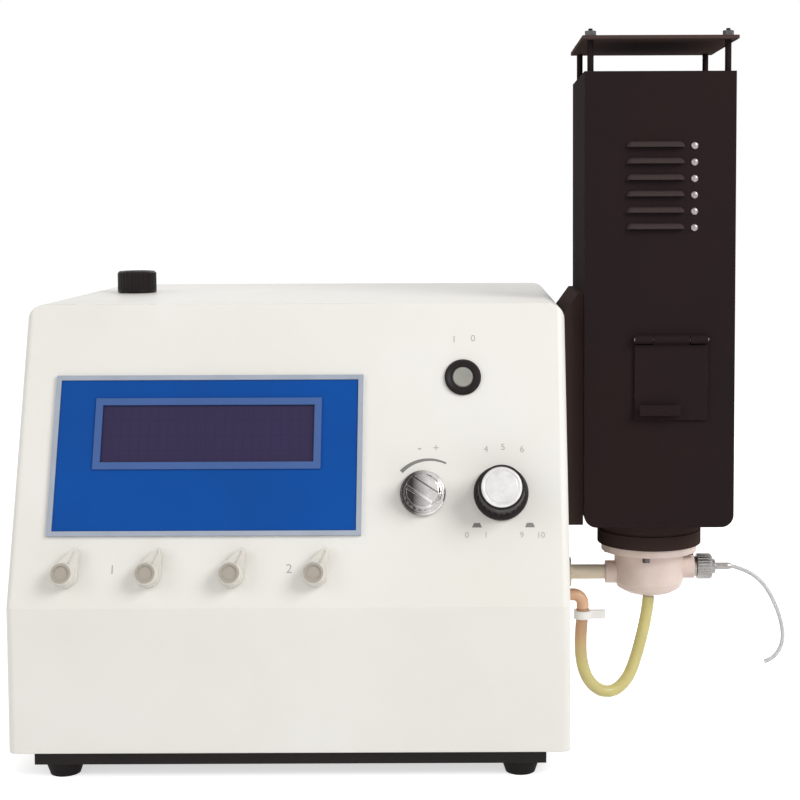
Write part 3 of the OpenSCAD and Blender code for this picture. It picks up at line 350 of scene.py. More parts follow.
@dataclass(frozen=True)
class Coating(Finish):
    """Paint or powder coat on sheet: broad unevenness, orange peel and rubbed edges."""

    shade: Colour = (0.5, 0.5, 0.5)
    wear: Colour = (0.5, 0.5, 0.5)
    wear_share: float = 0.3
    roughness: Span = (0.38, 0.5)
    peel_scale: float = 650.0
    peel_depth: float = 0.00004
    peel_share: float = 0.6
    edge: float = 0.0007
    shine: float = 0.5
    cloud_scale: float = 7.0
    cloud: Span = (0.35, 0.7)
    scuff_scale: float = 160.0
    scuff: Span = (0.45, 0.7)

    def tone(self, sheet: NodeSheet) -> Socket:
        """The uneven colour of the coat."""
        cloud = sheet.noise(sheet.coords(), self.cloud_scale, detail=4.0)
        return sheet.mix(sheet.span(cloud, self.cloud, RISING), self.colour, self.shade)

    def dress(self, sheet: NodeSheet) -> None:
        """Fills the coat's nodes.

        Args:
            sheet: the material's nodes.
        """
        place = sheet.coords()
        peel = sheet.noise(place, self.peel_scale, detail=2.0)
        scuff = sheet.noise(place, self.scuff_scale, detail=5.0, roughness=0.7)
        normal, edges = sheet.soft_edges(self.edge)
        rubbed = sheet.maths("MULTIPLY", edges,
                             sheet.span(scuff, self.scuff, (0.0, self.wear_share)))
        sheet.feed("Base Color", sheet.mix(rubbed, self.tone(sheet), self.wear))
        sheet.feed("Roughness", sheet.span(scuff, NOISE_MIDDLE, self.roughness))
        sheet.feed("Normal", sheet.bump(peel, self.peel_depth, self.peel_share, normal))
        sheet.feed("Specular IOR Level", self.shine)


@dataclass(frozen=True)
class StoveEnamel(Coating):
    """Matt black stove enamel of the chimney and of the pieces that join it."""

    colour: Colour = linear(44, 34, 34)
    shade: Colour = linear(39, 32, 34)
    wear: Colour = linear(88, 80, 76)
    wear_share: float = 0.7
    roughness: Span = (0.78, 0.92)
    peel_scale: float = 900.0
    peel_depth: float = 0.00005
    edge: float = 0.0009
    shine: float = 0.012


@dataclass(frozen=True)
class HoodEnamel(StoveEnamel):
    """Stove enamel with painted light on the louvre hoods, which stand proud of the front: a paler
    colour where their upper faces catch the light.
    """

    # painted light: the paler colour of the louvre hoods
    painted_hood_light: Colour = linear(66, 57, 56)
    proud: float = 0.0005
    foot: float = 0.35

    def tone(self, sheet: NodeSheet) -> Socket:
        """Mixes the uneven colour with the paler painted light of the hoods.

        Args:
            sheet: the material's nodes.

        Returns:
            The colour output.
        """
        _, y, z = sheet.split(sheet.coords())
        front = (CHIMNEY_FRONT - 2 * self.proud, CHIMNEY_FRONT - self.proud)
        hood_light_mask = sheet.maths("MULTIPLY", sheet.span(y, front, FALLING),
                           sheet.maths("GREATER_THAN", z, self.foot))
        return sheet.mix(hood_light_mask, super().tone(sheet), self.painted_hood_light)


@dataclass(frozen=True)
class Moulding(Finish):
    """Moulded plastic, rubber or resin: fine grain, faint mottle and softened edges."""

    shade: Colour = (0.5, 0.5, 0.5)
    roughness: Span = (0.4, 0.55)
    grain_scale: float = 1800.0
    grain_depth: float = 0.00002
    grain_share: float = 0.5
    mottle_scale: float = 45.0
    edge: float = 0.0005
    glow: float = 0.0
    glow_reach: Point = (0.004, 0.003, 0.002)
    glow_scale: float = 0.5
    shine: float = 0.5

    def tone(self, sheet: NodeSheet) -> Socket:
        """The mottled colour."""
        mottle = sheet.noise(sheet.coords(), self.mottle_scale, detail=4.0)
        return sheet.mix(sheet.span(mottle, NOISE_MIDDLE, RISING), self.colour, self.shade)

    def dress(self, sheet: NodeSheet) -> None:
        """Fills the moulding's nodes.

        Args:
            sheet: the material's nodes.
        """
        grain = sheet.noise(sheet.coords(), self.grain_scale, detail=2.0)
        normal, _ = sheet.soft_edges(self.edge)
        sheet.feed("Base Color", self.tone(sheet))
        sheet.feed("Specular IOR Level", self.shine)
        sheet.feed("Roughness", sheet.span(grain, NOISE_MIDDLE, self.roughness))
        sheet.feed("Normal", sheet.bump(grain, self.grain_depth, self.grain_share, normal))
        sheet.feed("Subsurface Weight", self.glow)
        sheet.feed("Subsurface Radius", self.glow_reach)
        sheet.feed("Subsurface Scale", self.glow_scale)


@dataclass(frozen=True)
class PointerMoulding(Moulding):
    """Moulded pointer knobs in a row along the slope, each with painted shade: a darker disc round
    its turning axis.
    """

    # painted shade: the darker colour of the disc round each knob's axis
    painted_hub_shade: Colour = (0.2, 0.2, 0.2)
    hub_radius: float = 0.0064
    hub_fade: float = 0.0004

    def tone(self, sheet: NodeSheet) -> Socket:
        """Mixes the mottled colour with the painted shade of the hubs.

        Args:
            sheet: the material's nodes.

        Returns:
            The colour output.
        """
        x, y, _ = sheet.split(sheet.coords(slope_point(TRIM_U, TRIM_V), SLOPE_TURN))
        across = sheet.distance(sheet.maths("PINGPONG", x, TRIM_PITCH / 2), y)
        rim = (self.hub_radius, self.hub_radius + self.hub_fade)
        return sheet.mix(sheet.span(across, rim, FALLING), super().tone(sheet), self.painted_hub_shade)


@dataclass(frozen=True)
class TurnedMetal(Finish):
    """Metal from a lathe: fine rings about an axis, polished edges and smudges."""

    centre: Point = (0.0, 0.0, 0.0)
    turn: Point = (0.0, 0.0, 0.0)
    roughness: Span = (0.12, 0.3)
    ring_scale: float = 2600.0
    ring_depth: float = 0.000008
    ring_share: float = 0.5
    stain: Colour = (0.4, 0.4, 0.4)
    smudge_scale: float = 120.0
    smudge: Span = (0.45, 0.7)
    smudge_share: float = 0.7
    polish: Colour = (0.8, 0.79, 0.78)
    polish_share: float = 0.7
    edge: float = 0.0004

    def tone(self, sheet: NodeSheet, place: Socket) -> Socket:
        """Mixes the bare colour with smudges.

        Args:
            sheet: the material's nodes.
            place: coordinates in the lathe's frame.

        Returns:
            The colour output.
        """
        smudge = sheet.noise(place, self.smudge_scale, detail=4.0)
        share = sheet.span(smudge, self.smudge, (0.0, self.smudge_share))
        return sheet.mix(share, self.colour, self.stain)

    def dress(self, sheet: NodeSheet) -> None:
        """Fills the metal's nodes.

        Args:
            sheet: the material's nodes.
        """
        place = sheet.coords(self.centre, self.turn)
        x, y, z = sheet.split(place)
        rings = sheet.add("CombineXYZ", {0: sheet.distance(x, y), 2: z}).outputs[0]
        lathe = sheet.noise(rings, self.ring_scale, detail=3.0, roughness=0.6)
        normal, edges = sheet.soft_edges(self.edge)
        sheet.feed("Base Color", sheet.mix(sheet.maths("MULTIPLY", edges, self.polish_share),
                                           self.tone(sheet, place), self.polish))
        sheet.feed("Metallic", 1.0)
        sheet.feed("Roughness", sheet.span(lathe, NOISE_MIDDLE, self.roughness))
        sheet.feed("Normal", sheet.bump(lathe, self.ring_depth, self.ring_share, normal))


@dataclass(frozen=True)
class SideShadedMetal(TurnedMetal):
    """Plated knob with painted shade: darker towards its left side, where it stands in for a
    darker reflection.
    """

    # painted shade: a darker colour towards the knob's left side
    painted_side_shade: Colour = (0.045, 0.04, 0.037)
    painted_shade_reach: Span = (-0.0065, 0.0045)

    def tone(self, sheet: NodeSheet, place: Socket) -> Socket:
        """The smudged colour, with painted shade darker towards the left side."""
        side = sheet.span(sheet.split(place)[0], self.painted_shade_reach, FALLING)
        return sheet.mix(side, super().tone(sheet, place), self.painted_side_shade)


@dataclass(frozen=True)
class PrintedFilm(Finish):
    """Matt screen-printed film over a panel, with a fine print screen."""

    shade: Colour = (0.0, 0.05, 0.3)
    cloud_scale: float = 14.0
    screen_scale: float = 1500.0
    screen: Span = (0.0, 0.6)
    screen_depth: float = 0.00001
    screen_share: float = 0.4
    roughness: Span = (0.38, 0.48)
    edge: float = 0.0004
    shine: float = 0.12

    def dress(self, sheet: NodeSheet) -> None:
        """Fills the film's nodes.

        Args:
            sheet: the material's nodes.
        """
        place = sheet.coords()
        cloud = sheet.span(sheet.noise(place, self.cloud_scale), NOISE_MIDDLE, RISING)
        dots = sheet.add("TexVoronoi", {"Vector": place,
                                        "Scale": self.screen_scale}).outputs["Distance"]
        normal, _ = sheet.soft_edges(self.edge)
        sheet.feed("Base Color", sheet.mix(cloud, self.colour, self.shade))
        sheet.feed("Roughness", sheet.span(dots, self.screen, self.roughness))
        sheet.feed("Normal", sheet.bump(dots, self.screen_depth, self.screen_share, normal))
        sheet.feed("Specular IOR Level", self.shine)


@dataclass(frozen=True)
class SmokedWindow(Finish):
    """Dark tinted window with the unlit character cells of the readout just showing."""

    cell: Colour = (0.05, 0.035, 0.09)
    cell_size: Span = (0.0064, 0.0105)
    cell_gap: float = 0.0005
    haze_scale: float = 30.0
    haze_share: float = 0.5
    roughness: Span = (0.14, 0.22)
    shine: float = 0.15

    def dress(self, sheet: NodeSheet) -> None:
        """Fills the window's nodes.

        Args:
            sheet: the material's nodes.
        """
        place = sheet.coords((CABINET_X, CABINET_Y, BREAK_Z), SLOPE_TURN)
        cells = sheet.bricks(place, self.cell_size, self.cell_gap, self.cell, self.colour)
        haze = sheet.noise(place, self.haze_scale)
        sheet.feed("Base Color", sheet.mix(sheet.span(haze, NOISE_MIDDLE, (0.0, self.haze_share)),
                                           cells.outputs["Color"], self.colour))
        sheet.feed("Roughness", sheet.span(haze, NOISE_MIDDLE, self.roughness))
        sheet.feed("Specular IOR Level", self.shine)


@dataclass(frozen=True)
class ClearGlass(Finish):
    """Clear or tinted glass and clear plastic tube, with faint streaks."""

    roughness: Span = (0.02, 0.06)
    ior: float = 1.47
    clear: float = 1.0
    streak_scale: float = 60.0
    streak_stretch: Point = (1, 1, 4)
    streak: Span = (0.4, 0.8)
    streak_share: float = 0.3
    streak_dark: float = 0.86

    def tone(self, sheet: NodeSheet, streak: Socket) -> Socket:
        """The colour with faint darker streaks."""
        return sheet.mix(sheet.span(streak, self.streak, (0.0, self.streak_share)),
                         self.colour, darker(self.colour, self.streak_dark))

    def dress(self, sheet: NodeSheet) -> None:
        """Fills the glass's nodes.

        Args:
            sheet: the material's nodes.
        """
        streak = sheet.noise(sheet.coords(scale=self.streak_stretch), self.streak_scale,
                             detail=4.0)
        sheet.feed("Base Color", self.tone(sheet, streak))
        sheet.feed("Roughness", sheet.span(streak, NOISE_MIDDLE, self.roughness))
        sheet.feed("IOR", self.ior)
        sheet.feed("Transmission Weight", self.clear)


@dataclass(frozen=True)
class HoseVinyl(ClearGlass):
    """Cloudy soft vinyl that has browned where it is pushed on the warm elbow."""

    aged: Colour = (0.6, 0.4, 0.25)
    aged_x: Span = (-0.044, -0.03)
    aged_z: Span = (0.036, 0.064)
    bloom_scale: float = 45.0
    bloom: Span = (0.35, 0.7)
    bloom_share: float = 0.6
    bloom_dark: float = 0.8

    def tone(self, sheet: NodeSheet, streak: Socket) -> Socket:
        """Mixes the cloudy colour with the browned one near the elbow.

        Args:
            sheet: the material's nodes.
            streak: the streaks, which show in the gloss alone.

        Returns:
            The colour output.
        """
        x, _, z = sheet.split(sheet.coords(tuple(BURNER)))
        near = sheet.maths("MULTIPLY", sheet.span(x, self.aged_x, FALLING),
                           sheet.span(z, self.aged_z, RISING))
        bloom = sheet.noise(sheet.coords(), self.bloom_scale)
        body = sheet.mix(sheet.span(bloom, self.bloom, (0.0, self.bloom_share)),
                         self.colour, darker(self.colour, self.bloom_dark))
        return sheet.mix(near, body, self.aged)


@dataclass(frozen=True)
class CircuitBoard(Finish):
    """Lacquered board with rows of copper tracks under the green."""

    track: Colour = (0.05, 0.24, 0.09)
    track_size: Span = (0.017, 0.0025)
    track_gap: float = 0.0004
    track_shift: float = 0.37
    track_depth: float = 0.00003
    track_share: float = 0.5
    grain_scale: float = 900.0
    roughness: Span = (0.28, 0.4)

    def dress(self, sheet: NodeSheet) -> None:
        """Fills the board's nodes.

        Args:
            sheet: the material's nodes.
        """
        place = sheet.coords()
        rows = sheet.bricks(place, self.track_size, self.track_gap, self.colour, self.track,
                            self.track_shift).outputs
        grain = sheet.noise(place, self.grain_scale, detail=2.0)
        sheet.feed("Base Color", rows["Color"])
        sheet.feed("Roughness", sheet.span(grain, NOISE_MIDDLE, self.roughness))
        sheet.feed("Normal", sheet.bump(rows["Fac"], self.track_depth, self.track_share))


class Finishes(Enum):
    """The finishes of the instrument."""

    CABINET = Coating("cabinet_white", linear(237, 235, 230), shade=linear(232, 229, 221),
                      wear=linear(206, 200, 188), wear_share=0.25)
    ENAMEL = StoveEnamel("chimney_enamel")
    LOUVRES = HoodEnamel("louvre_enamel")
    CAP = StoveEnamel("cap_enamel", linear(80, 64, 60), shade=linear(73, 60, 57),
                      wear=linear(114, 101, 96), wear_share=0.5, edge=0.0007)
    # painted light: a paler copy of the black chimney enamel for the collar and spacer, which sit
    # in shade
    COLLAR_LIT = StoveEnamel("collar_lit_enamel", linear(67, 53, 50), shade=linear(60, 49, 47),
                         wear=linear(104, 93, 88), wear_share=0.5, edge=0.0007)
    PLINTH = Coating("tray_black", linear(36, 31, 31), shade=linear(28, 25, 26),
                     wear=linear(72, 68, 66), wear_share=0.4, roughness=(0.42, 0.55), shine=0.15)
    RUBBER = Moulding("foot_rubber", linear(32, 28, 28), shade=linear(25, 22, 23),
                      roughness=(0.62, 0.78), grain_scale=1200.0, grain_depth=0.00004,
                      shine=0.12)
    BEZEL = Moulding("bezel_grey", linear(168, 176, 190), shade=linear(160, 168, 182), shine=0.3)
    FILM = PrintedFilm("blue_film", linear(8, 78, 160), shade=linear(10, 72, 150))
    RIM = PrintedFilm("rim_blue", linear(76, 104, 160), shade=linear(71, 99, 153))
    WINDOW = SmokedWindow("smoked_window", linear(50, 42, 74), cell=linear(53, 45, 78))
    BOARD = CircuitBoard("green_board", linear(20, 92, 52))
    POINTER = PointerMoulding("pointer_grey", linear(226, 222, 214), shade=linear(217, 213, 204),
                              roughness=(0.35, 0.48), glow=0.1, painted_hub_shade=linear(172, 164, 152))
    BLACK = Moulding("black_moulding", linear(36, 30, 30), shade=linear(28, 25, 25),
                     roughness=(0.32, 0.45), shine=0.14)
    BUTTON = Moulding("button_grey", linear(152, 152, 144), shade=linear(142, 142, 134))
    PLATED = TurnedMetal("plated_steel", (0.45, 0.44, 0.43), stain=(0.3, 0.29, 0.28),
                         roughness=(0.25, 0.4))
    SILVER_KNOB = SideShadedMetal("silver_knob", (0.72, 0.7, 0.69), stain=(0.5, 0.48, 0.47),
                            centre=slope_point(FINE_U, VALVE_V), turn=SLOPE_TURN,
                            roughness=(0.1, 0.22), edge=0.0006)
    KNOB_DISC = TurnedMetal("knob_disc", (0.71, 0.7, 0.69), stain=(0.56, 0.55, 0.54),
                            centre=slope_point(FUEL_U, VALVE_V), turn=SLOPE_TURN,
                            roughness=(0.35, 0.5), ring_depth=0.00002)
    BRASS = TurnedMetal("brass", (0.72, 0.52, 0.24), stain=(0.45, 0.3, 0.14),
                        polish=(0.8, 0.62, 0.34), roughness=(0.25, 0.42))
    COPPER = TurnedMetal("copper_pipe", (0.72, 0.38, 0.24), stain=(0.4, 0.2, 0.12),
                         polish=(0.8, 0.5, 0.36), roughness=(0.28, 0.45))
    BURNER_STEEL = TurnedMetal("burner_steel", (0.55, 0.53, 0.5), stain=(0.3, 0.22, 0.16),
                               centre=tuple(BURNER), roughness=(0.25, 0.42))
    NEBULISER = TurnedMetal("nebuliser_steel", (0.34, 0.32, 0.31), stain=(0.2, 0.19, 0.18),
                            centre=(BURNER.x, BURNER.y, NEBULISER_Z), turn=(0, math.pi / 2, 0),
                            roughness=(0.2, 0.36))
    DARK_SCREW = TurnedMetal("dark_screw", (0.12, 0.11, 0.11), stain=(0.07, 0.065, 0.065),
                             polish=(0.25, 0.24, 0.24), roughness=(0.35, 0.5))
    RESIN = Moulding("chamber_resin", linear(233, 215, 206), shade=linear(223, 202, 192),
                     roughness=(0.38, 0.5), mottle_scale=60.0, glow=0.08)
    ARM = Moulding("arm_resin", linear(246, 234, 212), shade=linear(236, 222, 200), glow=0.08)
    ELBOW = Moulding("elbow_resin", linear(226, 184, 150), shade=linear(212, 166, 132),
                     roughness=(0.32, 0.45), glow=0.1)
    CLIP = Moulding("clip_white", linear(244, 243, 240), shade=linear(236, 234, 230))
    CERAMIC = Moulding("glazed_ceramic", linear(236, 232, 220), shade=linear(226, 220, 206),
                       roughness=(0.15, 0.25), grain_depth=0.000008)
    GLASS = ClearGlass("flame_glass", (0.96, 0.98, 0.98))
    LENS = ClearGlass("lens_glass", (0.98, 0.99, 0.99), roughness=(0.0, 0.02), ior=1.52)
    FILTER = ClearGlass("filter_glass", (0.75, 0.32, 0.12), roughness=(0.02, 0.05), ior=1.5)
    VINYL = HoseVinyl("hose_vinyl", linear(230, 218, 146), roughness=(0.12, 0.22), ior=1.45,
                      clear=0.3, streak_scale=90.0, aged=linear(208, 166, 128))
    CAPILLARY = ClearGlass("capillary_clear", linear(214, 215, 215), roughness=(0.08, 0.16),
                           ior=1.38, clear=0.45)
    CORE = Coating("laminated_core", linear(88, 88, 88), shade=linear(70, 70, 70),
                   wear=linear(130, 128, 124), roughness=(0.4, 0.55), peel_scale=1500.0)
    INK = Moulding("panel_ink", linear(120, 120, 118), shade=linear(134, 134, 132),
                   roughness=(0.5, 0.6), edge=0.00005)
    FAINT_INK = Moulding("faint_ink", linear(172, 172, 170), shade=linear(180, 180, 178),
                         roughness=(0.5, 0.6), edge=0.00005)
    STUD = TurnedMetal("louvre_stud", (0.34, 0.3, 0.31), stain=(0.26, 0.23, 0.24),
                       polish=(0.4, 0.36, 0.37), roughness=(0.3, 0.45))

    def paint(self, piece: bpy.types.Object) -> None:
        """Gives a piece this finish as its only material."""
        piece.data.materials.clear()
        piece.data.materials.append(self.value.material())


class Assembly:
    """A sub-assembly: CAD nodes with their finishes, and the pieces that are made for it."""

    WELD: ClassVar[float] = 1e-7
    SMOOTH: ClassVar[float] = math.radians(35.0)
    coats: ClassVar[dict[Finishes, tuple[str, ...]]] = {}

    def make(self) -> None:
        """Makes the assembly's own pieces, where it has any."""

    def build(self) -> None:
        """Makes the own pieces, then gives the CAD nodes their finishes and logs them."""
        self.make()
        for finish, names in self.coats.items():
            for name in names:
                finish.paint(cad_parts[name])
                LOG.info("dressed %s in %s", name, finish.value.name)

    def piece(self, name: str, mesh: bmesh.types.BMesh, finish: Finishes, body: str,
              slot: str) -> None:
        """Turns a finished bmesh into a piece that rides on a body.

        Args:
            name: the piece's name.
            mesh: the bmesh, in the part's frame; it is freed.
            finish: the finish.
            body: the CAD body that carries it.
            slot: the name of a material slot; not used.
        """
        bmesh.ops.remove_doubles(mesh, verts=mesh.verts, dist=self.WELD)
        bmesh.ops.recalc_face_normals(mesh, faces=mesh.faces)
        data = bpy.data.meshes.new(name)
        mesh.to_mesh(data)
        mesh.free()
        data.shade_smooth()
        data.set_sharp_from_angle(angle=self.SMOOTH)
        made = add_object(name, data)
        finish.paint(made)
        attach(made, body)
        LOG.info("made %s on %s", name, body)


class Cabinet(Assembly):
    """White sheet cabinet on a black tray with rubber feet."""

    coats = {
        Finishes.CABINET: ("front_panel", "top_cover", "rear_panel"),
        Finishes.PLINTH: ("base_tray",),
        Finishes.RUBBER: ("rubber_feet",),
        Finishes.PLATED: ("cover_screws",),
    }


class Display(Assembly):
    """Blue display panel with its bezel, rim, window and board."""

    coats = {
        Finishes.BEZEL: ("display_bezel",),
        Finishes.FILM: ("display_overlay",),
        Finishes.RIM: ("window_rim",),
        Finishes.WINDOW: ("display_window",),
        Finishes.BOARD: ("display_board",),
    }


@dataclass
class PanelPrint(Assembly):
    """Marks printed on the sloped front: an arc, two marks, signs and plain figures.

    Each figure has its text, its letter size, its distance from the cabinet's left side and
    its distance up the slope.
    """

    ink: float = 0.00006
    lift: float = 0.00002
    arc_radius: float = 0.0259
    arc_angles: Span = (64, 137)
    arc_width: Span = (0.0012, 0.0027)
    arc_place: Span = (FINE_U + 0.0042, VALVE_V - 0.0028)
    arc_steps: int = 28
    mark_size: Span = (0.0066, 0.003)
    mark_top: float = 0.62
    mark_places: tuple[Span, ...] = ((0.3122, 0.0541), (0.3477, 0.0541))
    figures: tuple[tuple[str, float, float, float], ...] = (
        ("-", 0.0095, 0.2735, 0.1068), ("+", 0.0075, 0.2847, 0.1064),
        ("4", 0.0062, 0.3186, 0.1055), ("5", 0.0062, 0.3301, 0.1069),
        ("6", 0.0062, 0.343, 0.1054), ("0", 0.0055, 0.3055, 0.0475),
        ("1", 0.0055, 0.3182, 0.0475), ("9", 0.0055, 0.3422, 0.0474),
        ("10", 0.0055, 0.3549, 0.0473), ("1", 0.0066, 0.297, 0.1826),
        ("0", 0.0066, 0.3101, 0.1832), ("1", 0.0085, 0.0699, 0.0253),
        ("2", 0.0085, 0.1873, 0.0255))

    @property
    def middle(self) -> float:
        """Height of the ink's middle over the panel."""
        return self.lift + self.ink / 2

    def figure(self, mesh: bmesh.types.BMesh, text: str, size: float, place: Matrix) -> None:
        """Adds a plain figure or sign to a mesh, centred on a place.

        Args:
            mesh: the mesh that takes it.
            text: the figure.
            size: letter size in metres.
            place: frame of its middle.
        """
        curve = bpy.data.curves.new("figure", "FONT")
        curve.body = text
        curve.size = size
        curve.align_x = "CENTER"
        curve.align_y = "CENTER"
        curve.extrude = self.ink / 2
        holder = add_object("figure", curve)
        bpy.context.view_layer.update()
        solid = bpy.data.meshes.new_from_object(
            holder.evaluated_get(bpy.context.evaluated_depsgraph_get()))
        solid.transform(place @ Matrix.Translation((0, 0, self.middle)))
        mesh.from_mesh(solid)
        bpy.data.objects.remove(holder)
        bpy.data.curves.remove(curve)
        bpy.data.meshes.remove(solid)

    def mark(self, mesh: bmesh.types.BMesh, place: Matrix) -> None:
        """Adds a thin printed mark that is narrower at its upper edge.

        Args:
            mesh: the mesh that takes it.
            place: frame of its middle.
        """
        block = Matrix.Translation((0, 0, self.middle)) @ Matrix.Diagonal(
            (*self.mark_size, self.ink, 1.0))
        made = bmesh.ops.create_cube(mesh, size=1.0, matrix=place @ block)["verts"]
        inward = place.inverted()
        upper = [v for v in made if (inward @ v.co).y > 0]
        bmesh.ops.scale(mesh, vec=(self.mark_top, 1, 1), space=inward, verts=upper)

    def arc(self, mesh: bmesh.types.BMesh, place: Matrix) -> None:
        """Adds the tapered arc by turning a thin face about the place's axis.

        Args:
            mesh: the mesh that takes it.
            place: frame of the arc's centre.
        """
        start, end = (math.radians(angle) for angle in self.arc_angles)
        thin, thick = self.arc_width
        shape = bmesh.new()
        stand = Matrix.Translation((self.arc_radius, 0, self.middle)) @ Matrix.Rotation(
            math.pi / 2, 4, "X") @ Matrix.Diagonal((thin, self.ink, 1.0, 1.0))
        bmesh.ops.create_grid(shape, x_segments=1, y_segments=1, size=0.5, matrix=stand)
        bmesh.ops.spin(shape, geom=shape.faces[:], cent=(0, 0, 0), axis=(0, 0, 1), dvec=(0, 0, 0),
                       angle=end - start, steps=self.arc_steps, use_merge=False,
                       use_duplicate=False)
        for vert in shape.verts:
            share = math.atan2(vert.co.y, vert.co.x) / (end - start)
            far = vert.co.xy.length
            kept = 1 + (thick / thin - 1) * share
            vert.co.xy *= (self.arc_radius + (far - self.arc_radius) * kept) / far
        bmesh.ops.transform(shape, matrix=place @ Matrix.Rotation(start, 4, "Z"),
                            verts=shape.verts)
        solid = bpy.data.meshes.new("arc")
        shape.to_mesh(solid)
        shape.free()
        mesh.from_mesh(solid)
        bpy.data.meshes.remove(solid)

    def make(self) -> None:
        """Makes the printed pieces."""
        dark = bmesh.new()
        self.arc(dark, on_slope(*self.arc_place))
        for place in self.mark_places:
            self.mark(dark, on_slope(*place))
        self.piece("control_marks", dark, Finishes.INK, "cabinet", "black_plastic")
        pale = bmesh.new()
        for text, size, u, v in self.figures:
            self.figure(pale, text, size, on_slope(u, v))
        self.piece("control_figures", pale, Finishes.FAINT_INK, "cabinet", "black_plastic")


class Controls(Assembly):
    """Trim knobs, igniter, fuel and fine-flow knobs and the regulator knob."""

    coats = {
        Finishes.POINTER: ("trim_knob_1", "trim_knob_2", "trim_knob_3", "trim_knob_4"),
        Finishes.PLATED: ("trim_pots", "air_regulator"),
        Finishes.BLACK: ("ignition_switch", "fuel_knob", "air_regulator_knob"),
        Finishes.BUTTON: ("ignition_button",),
        Finishes.KNOB_DISC: ("fuel_knob_cap",),
        Finishes.SILVER_KNOB: ("fine_knob",),
        Finishes.BRASS: ("fuel_valve_stem", "fine_valve_stem", "fuel_valve", "fine_valve"),
    }


@dataclass
class Chimney(Assembly):
    """Black louvred chimney with its sight door, cap and flame glass."""

    stud_x: float = 0.2147
    stud_z: float = 0.4234
    stud_pitch: float = 0.0116
    stud_radius: float = 0.0028
    stud_crown: float = 0.6
    stud_faces: tuple[int, int] = (24, 12)
    studs: int = 6

    coats = {
        Finishes.ENAMEL: ("chimney_shell", "chimney_door", "cap_posts"),
        Finishes.CAP: ("cap_plate",),
        # painted light: the collar and spacer take the paler enamel copy, as they sit in shade
        Finishes.COLLAR_LIT: ("burner_collar", "chimney_spacer"),
        Finishes.LOUVRES: ("chimney_front",),
        Finishes.PLATED: ("door_hinge_pin",),
        Finishes.DARK_SCREW: ("cap_nuts",),
        Finishes.GLASS: ("flame_glass",),
    }

    def make(self) -> None:
        """Sets a bright stud at the end of each louvre."""
        heads = bmesh.new()
        around, along = self.stud_faces
        for row in range(self.studs):
            place = Matrix.Translation((self.stud_x, CHIMNEY_FRONT,
                                        self.stud_z - row * self.stud_pitch))
            crown = Matrix.Diagonal((1.0, self.stud_crown, 1.0, 1.0))
            bmesh.ops.create_uvsphere(heads, u_segments=around, v_segments=along,
                                      radius=self.stud_radius, matrix=place @ crown)
        self.piece("louvre_studs", heads, Finishes.STUD, "cabinet", "screw_steel")


class Burner(Assembly):
    """Burner head, mixing chamber, nebuliser and gas fittings."""

    coats = {
        Finishes.BURNER_STEEL: ("burner_head",),
        Finishes.RESIN: ("mixing_chamber",),
        Finishes.ARM: ("support_arm",),
        Finishes.DARK_SCREW: ("chamber_screws",),
        Finishes.NEBULISER: ("nebulizer_body", "nebulizer_nut"),
        Finishes.ELBOW: ("gas_elbow",),
        Finishes.CLIP: ("hose_clip",),
        Finishes.CERAMIC: ("igniter_electrode",),
    }


class Inside(Assembly):
    """Optics, electronics and supply behind the panels."""

    coats = {
        Finishes.BLACK: ("lens_barrel", "filter_block", "mains_inlet", "power_rocker"),
        Finishes.LENS: ("condenser_lens",),
        Finishes.FILTER: ("optical_filters",),
        Finishes.BUTTON: ("photocells",),
        Finishes.BOARD: ("main_board",),
        Finishes.CORE: ("transformer",),
        Finishes.BRASS: ("hose_tails",),
        Finishes.COPPER: ("fuel_pipes", "air_pipes"),
    }


class FarEnd(Enum):
    """What a soft tube ends in."""

    OBJECT = "object"
    BARE = "bare"


class Stiffness(Enum):
    """How easily a soft tube bends."""

    LIMP = "limp"
    STIFF = "stiff"


@dataclass
class SoftTube:
    """A soft tube where its CAD solid lies; the route is in millimetres from the burner's foot."""

    name: str
    node: str
    route: tuple[Point, ...]
    diameter: float
    finish: Finishes
    slot: str
    far_end: FarEnd
    stiffness: Stiffness
    sides: int = 6
    bends: int = 5

    def points(self, steps: int = 12, kept: int = 24, ease: int = 40) -> list[Vector]:
        """Points on the smooth route in the part's frame.

        Args:
            steps: fine points for each stretch of the route.
            kept: points that the tube keeps.
            ease: smoothing passes, which open the tightest bend a little.

        Returns:
            The points from the exit to the far end.
        """
        rough = [BURNER + Vector(p) / 1000 for p in self.route]
        ends = [rough[0], *rough, rough[-1]]
        fine = []
        # The same smooth curve through the points as in the part's source
        for before, here, there, after in zip(ends, ends[1:], ends[2:], ends[3:]):
            for k in range(steps):
                t = k / steps
                fine.append(0.5 * (2 * here + (there - before) * t
                                   + (2 * before - 5 * here + 4 * there - after) * t ** 2
                                   + (3 * here - before - 3 * there + after) * t ** 3))
        fine.append(rough[-1])
        for _ in range(ease):
            inner = [0.5 * here + 0.25 * (before + after)
                     for before, here, after in zip(fine, fine[1:], fine[2:])]
            fine = [fine[0], *inner, fine[-1]]
        return [fine[round(k * (len(fine) - 1) / (kept - 1))] for k in range(kept)]

    def build(self) -> None:
        line = self.points()
        curve = bpy.data.curves.new(self.name, "CURVE")
        curve.dimensions = "3D"
        curve.bevel_depth = self.diameter / 2
        curve.bevel_resolution = self.sides
        curve.use_fill_caps = True
        curve.resolution_u = self.bends
        spline = curve.splines.new("BEZIER")
        spline.bezier_points.add(len(line) - 1)
        for point, place in zip(spline.bezier_points, line):
            point.co = place
            point.handle_left_type = point.handle_right_type = "AUTO"
        spline.resolution_u = self.bends
        spline.use_smooth = True
        tube = add_object(self.name, curve)
        self.finish.paint(tube)
        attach(tube, "cabinet")
        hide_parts(self.node)


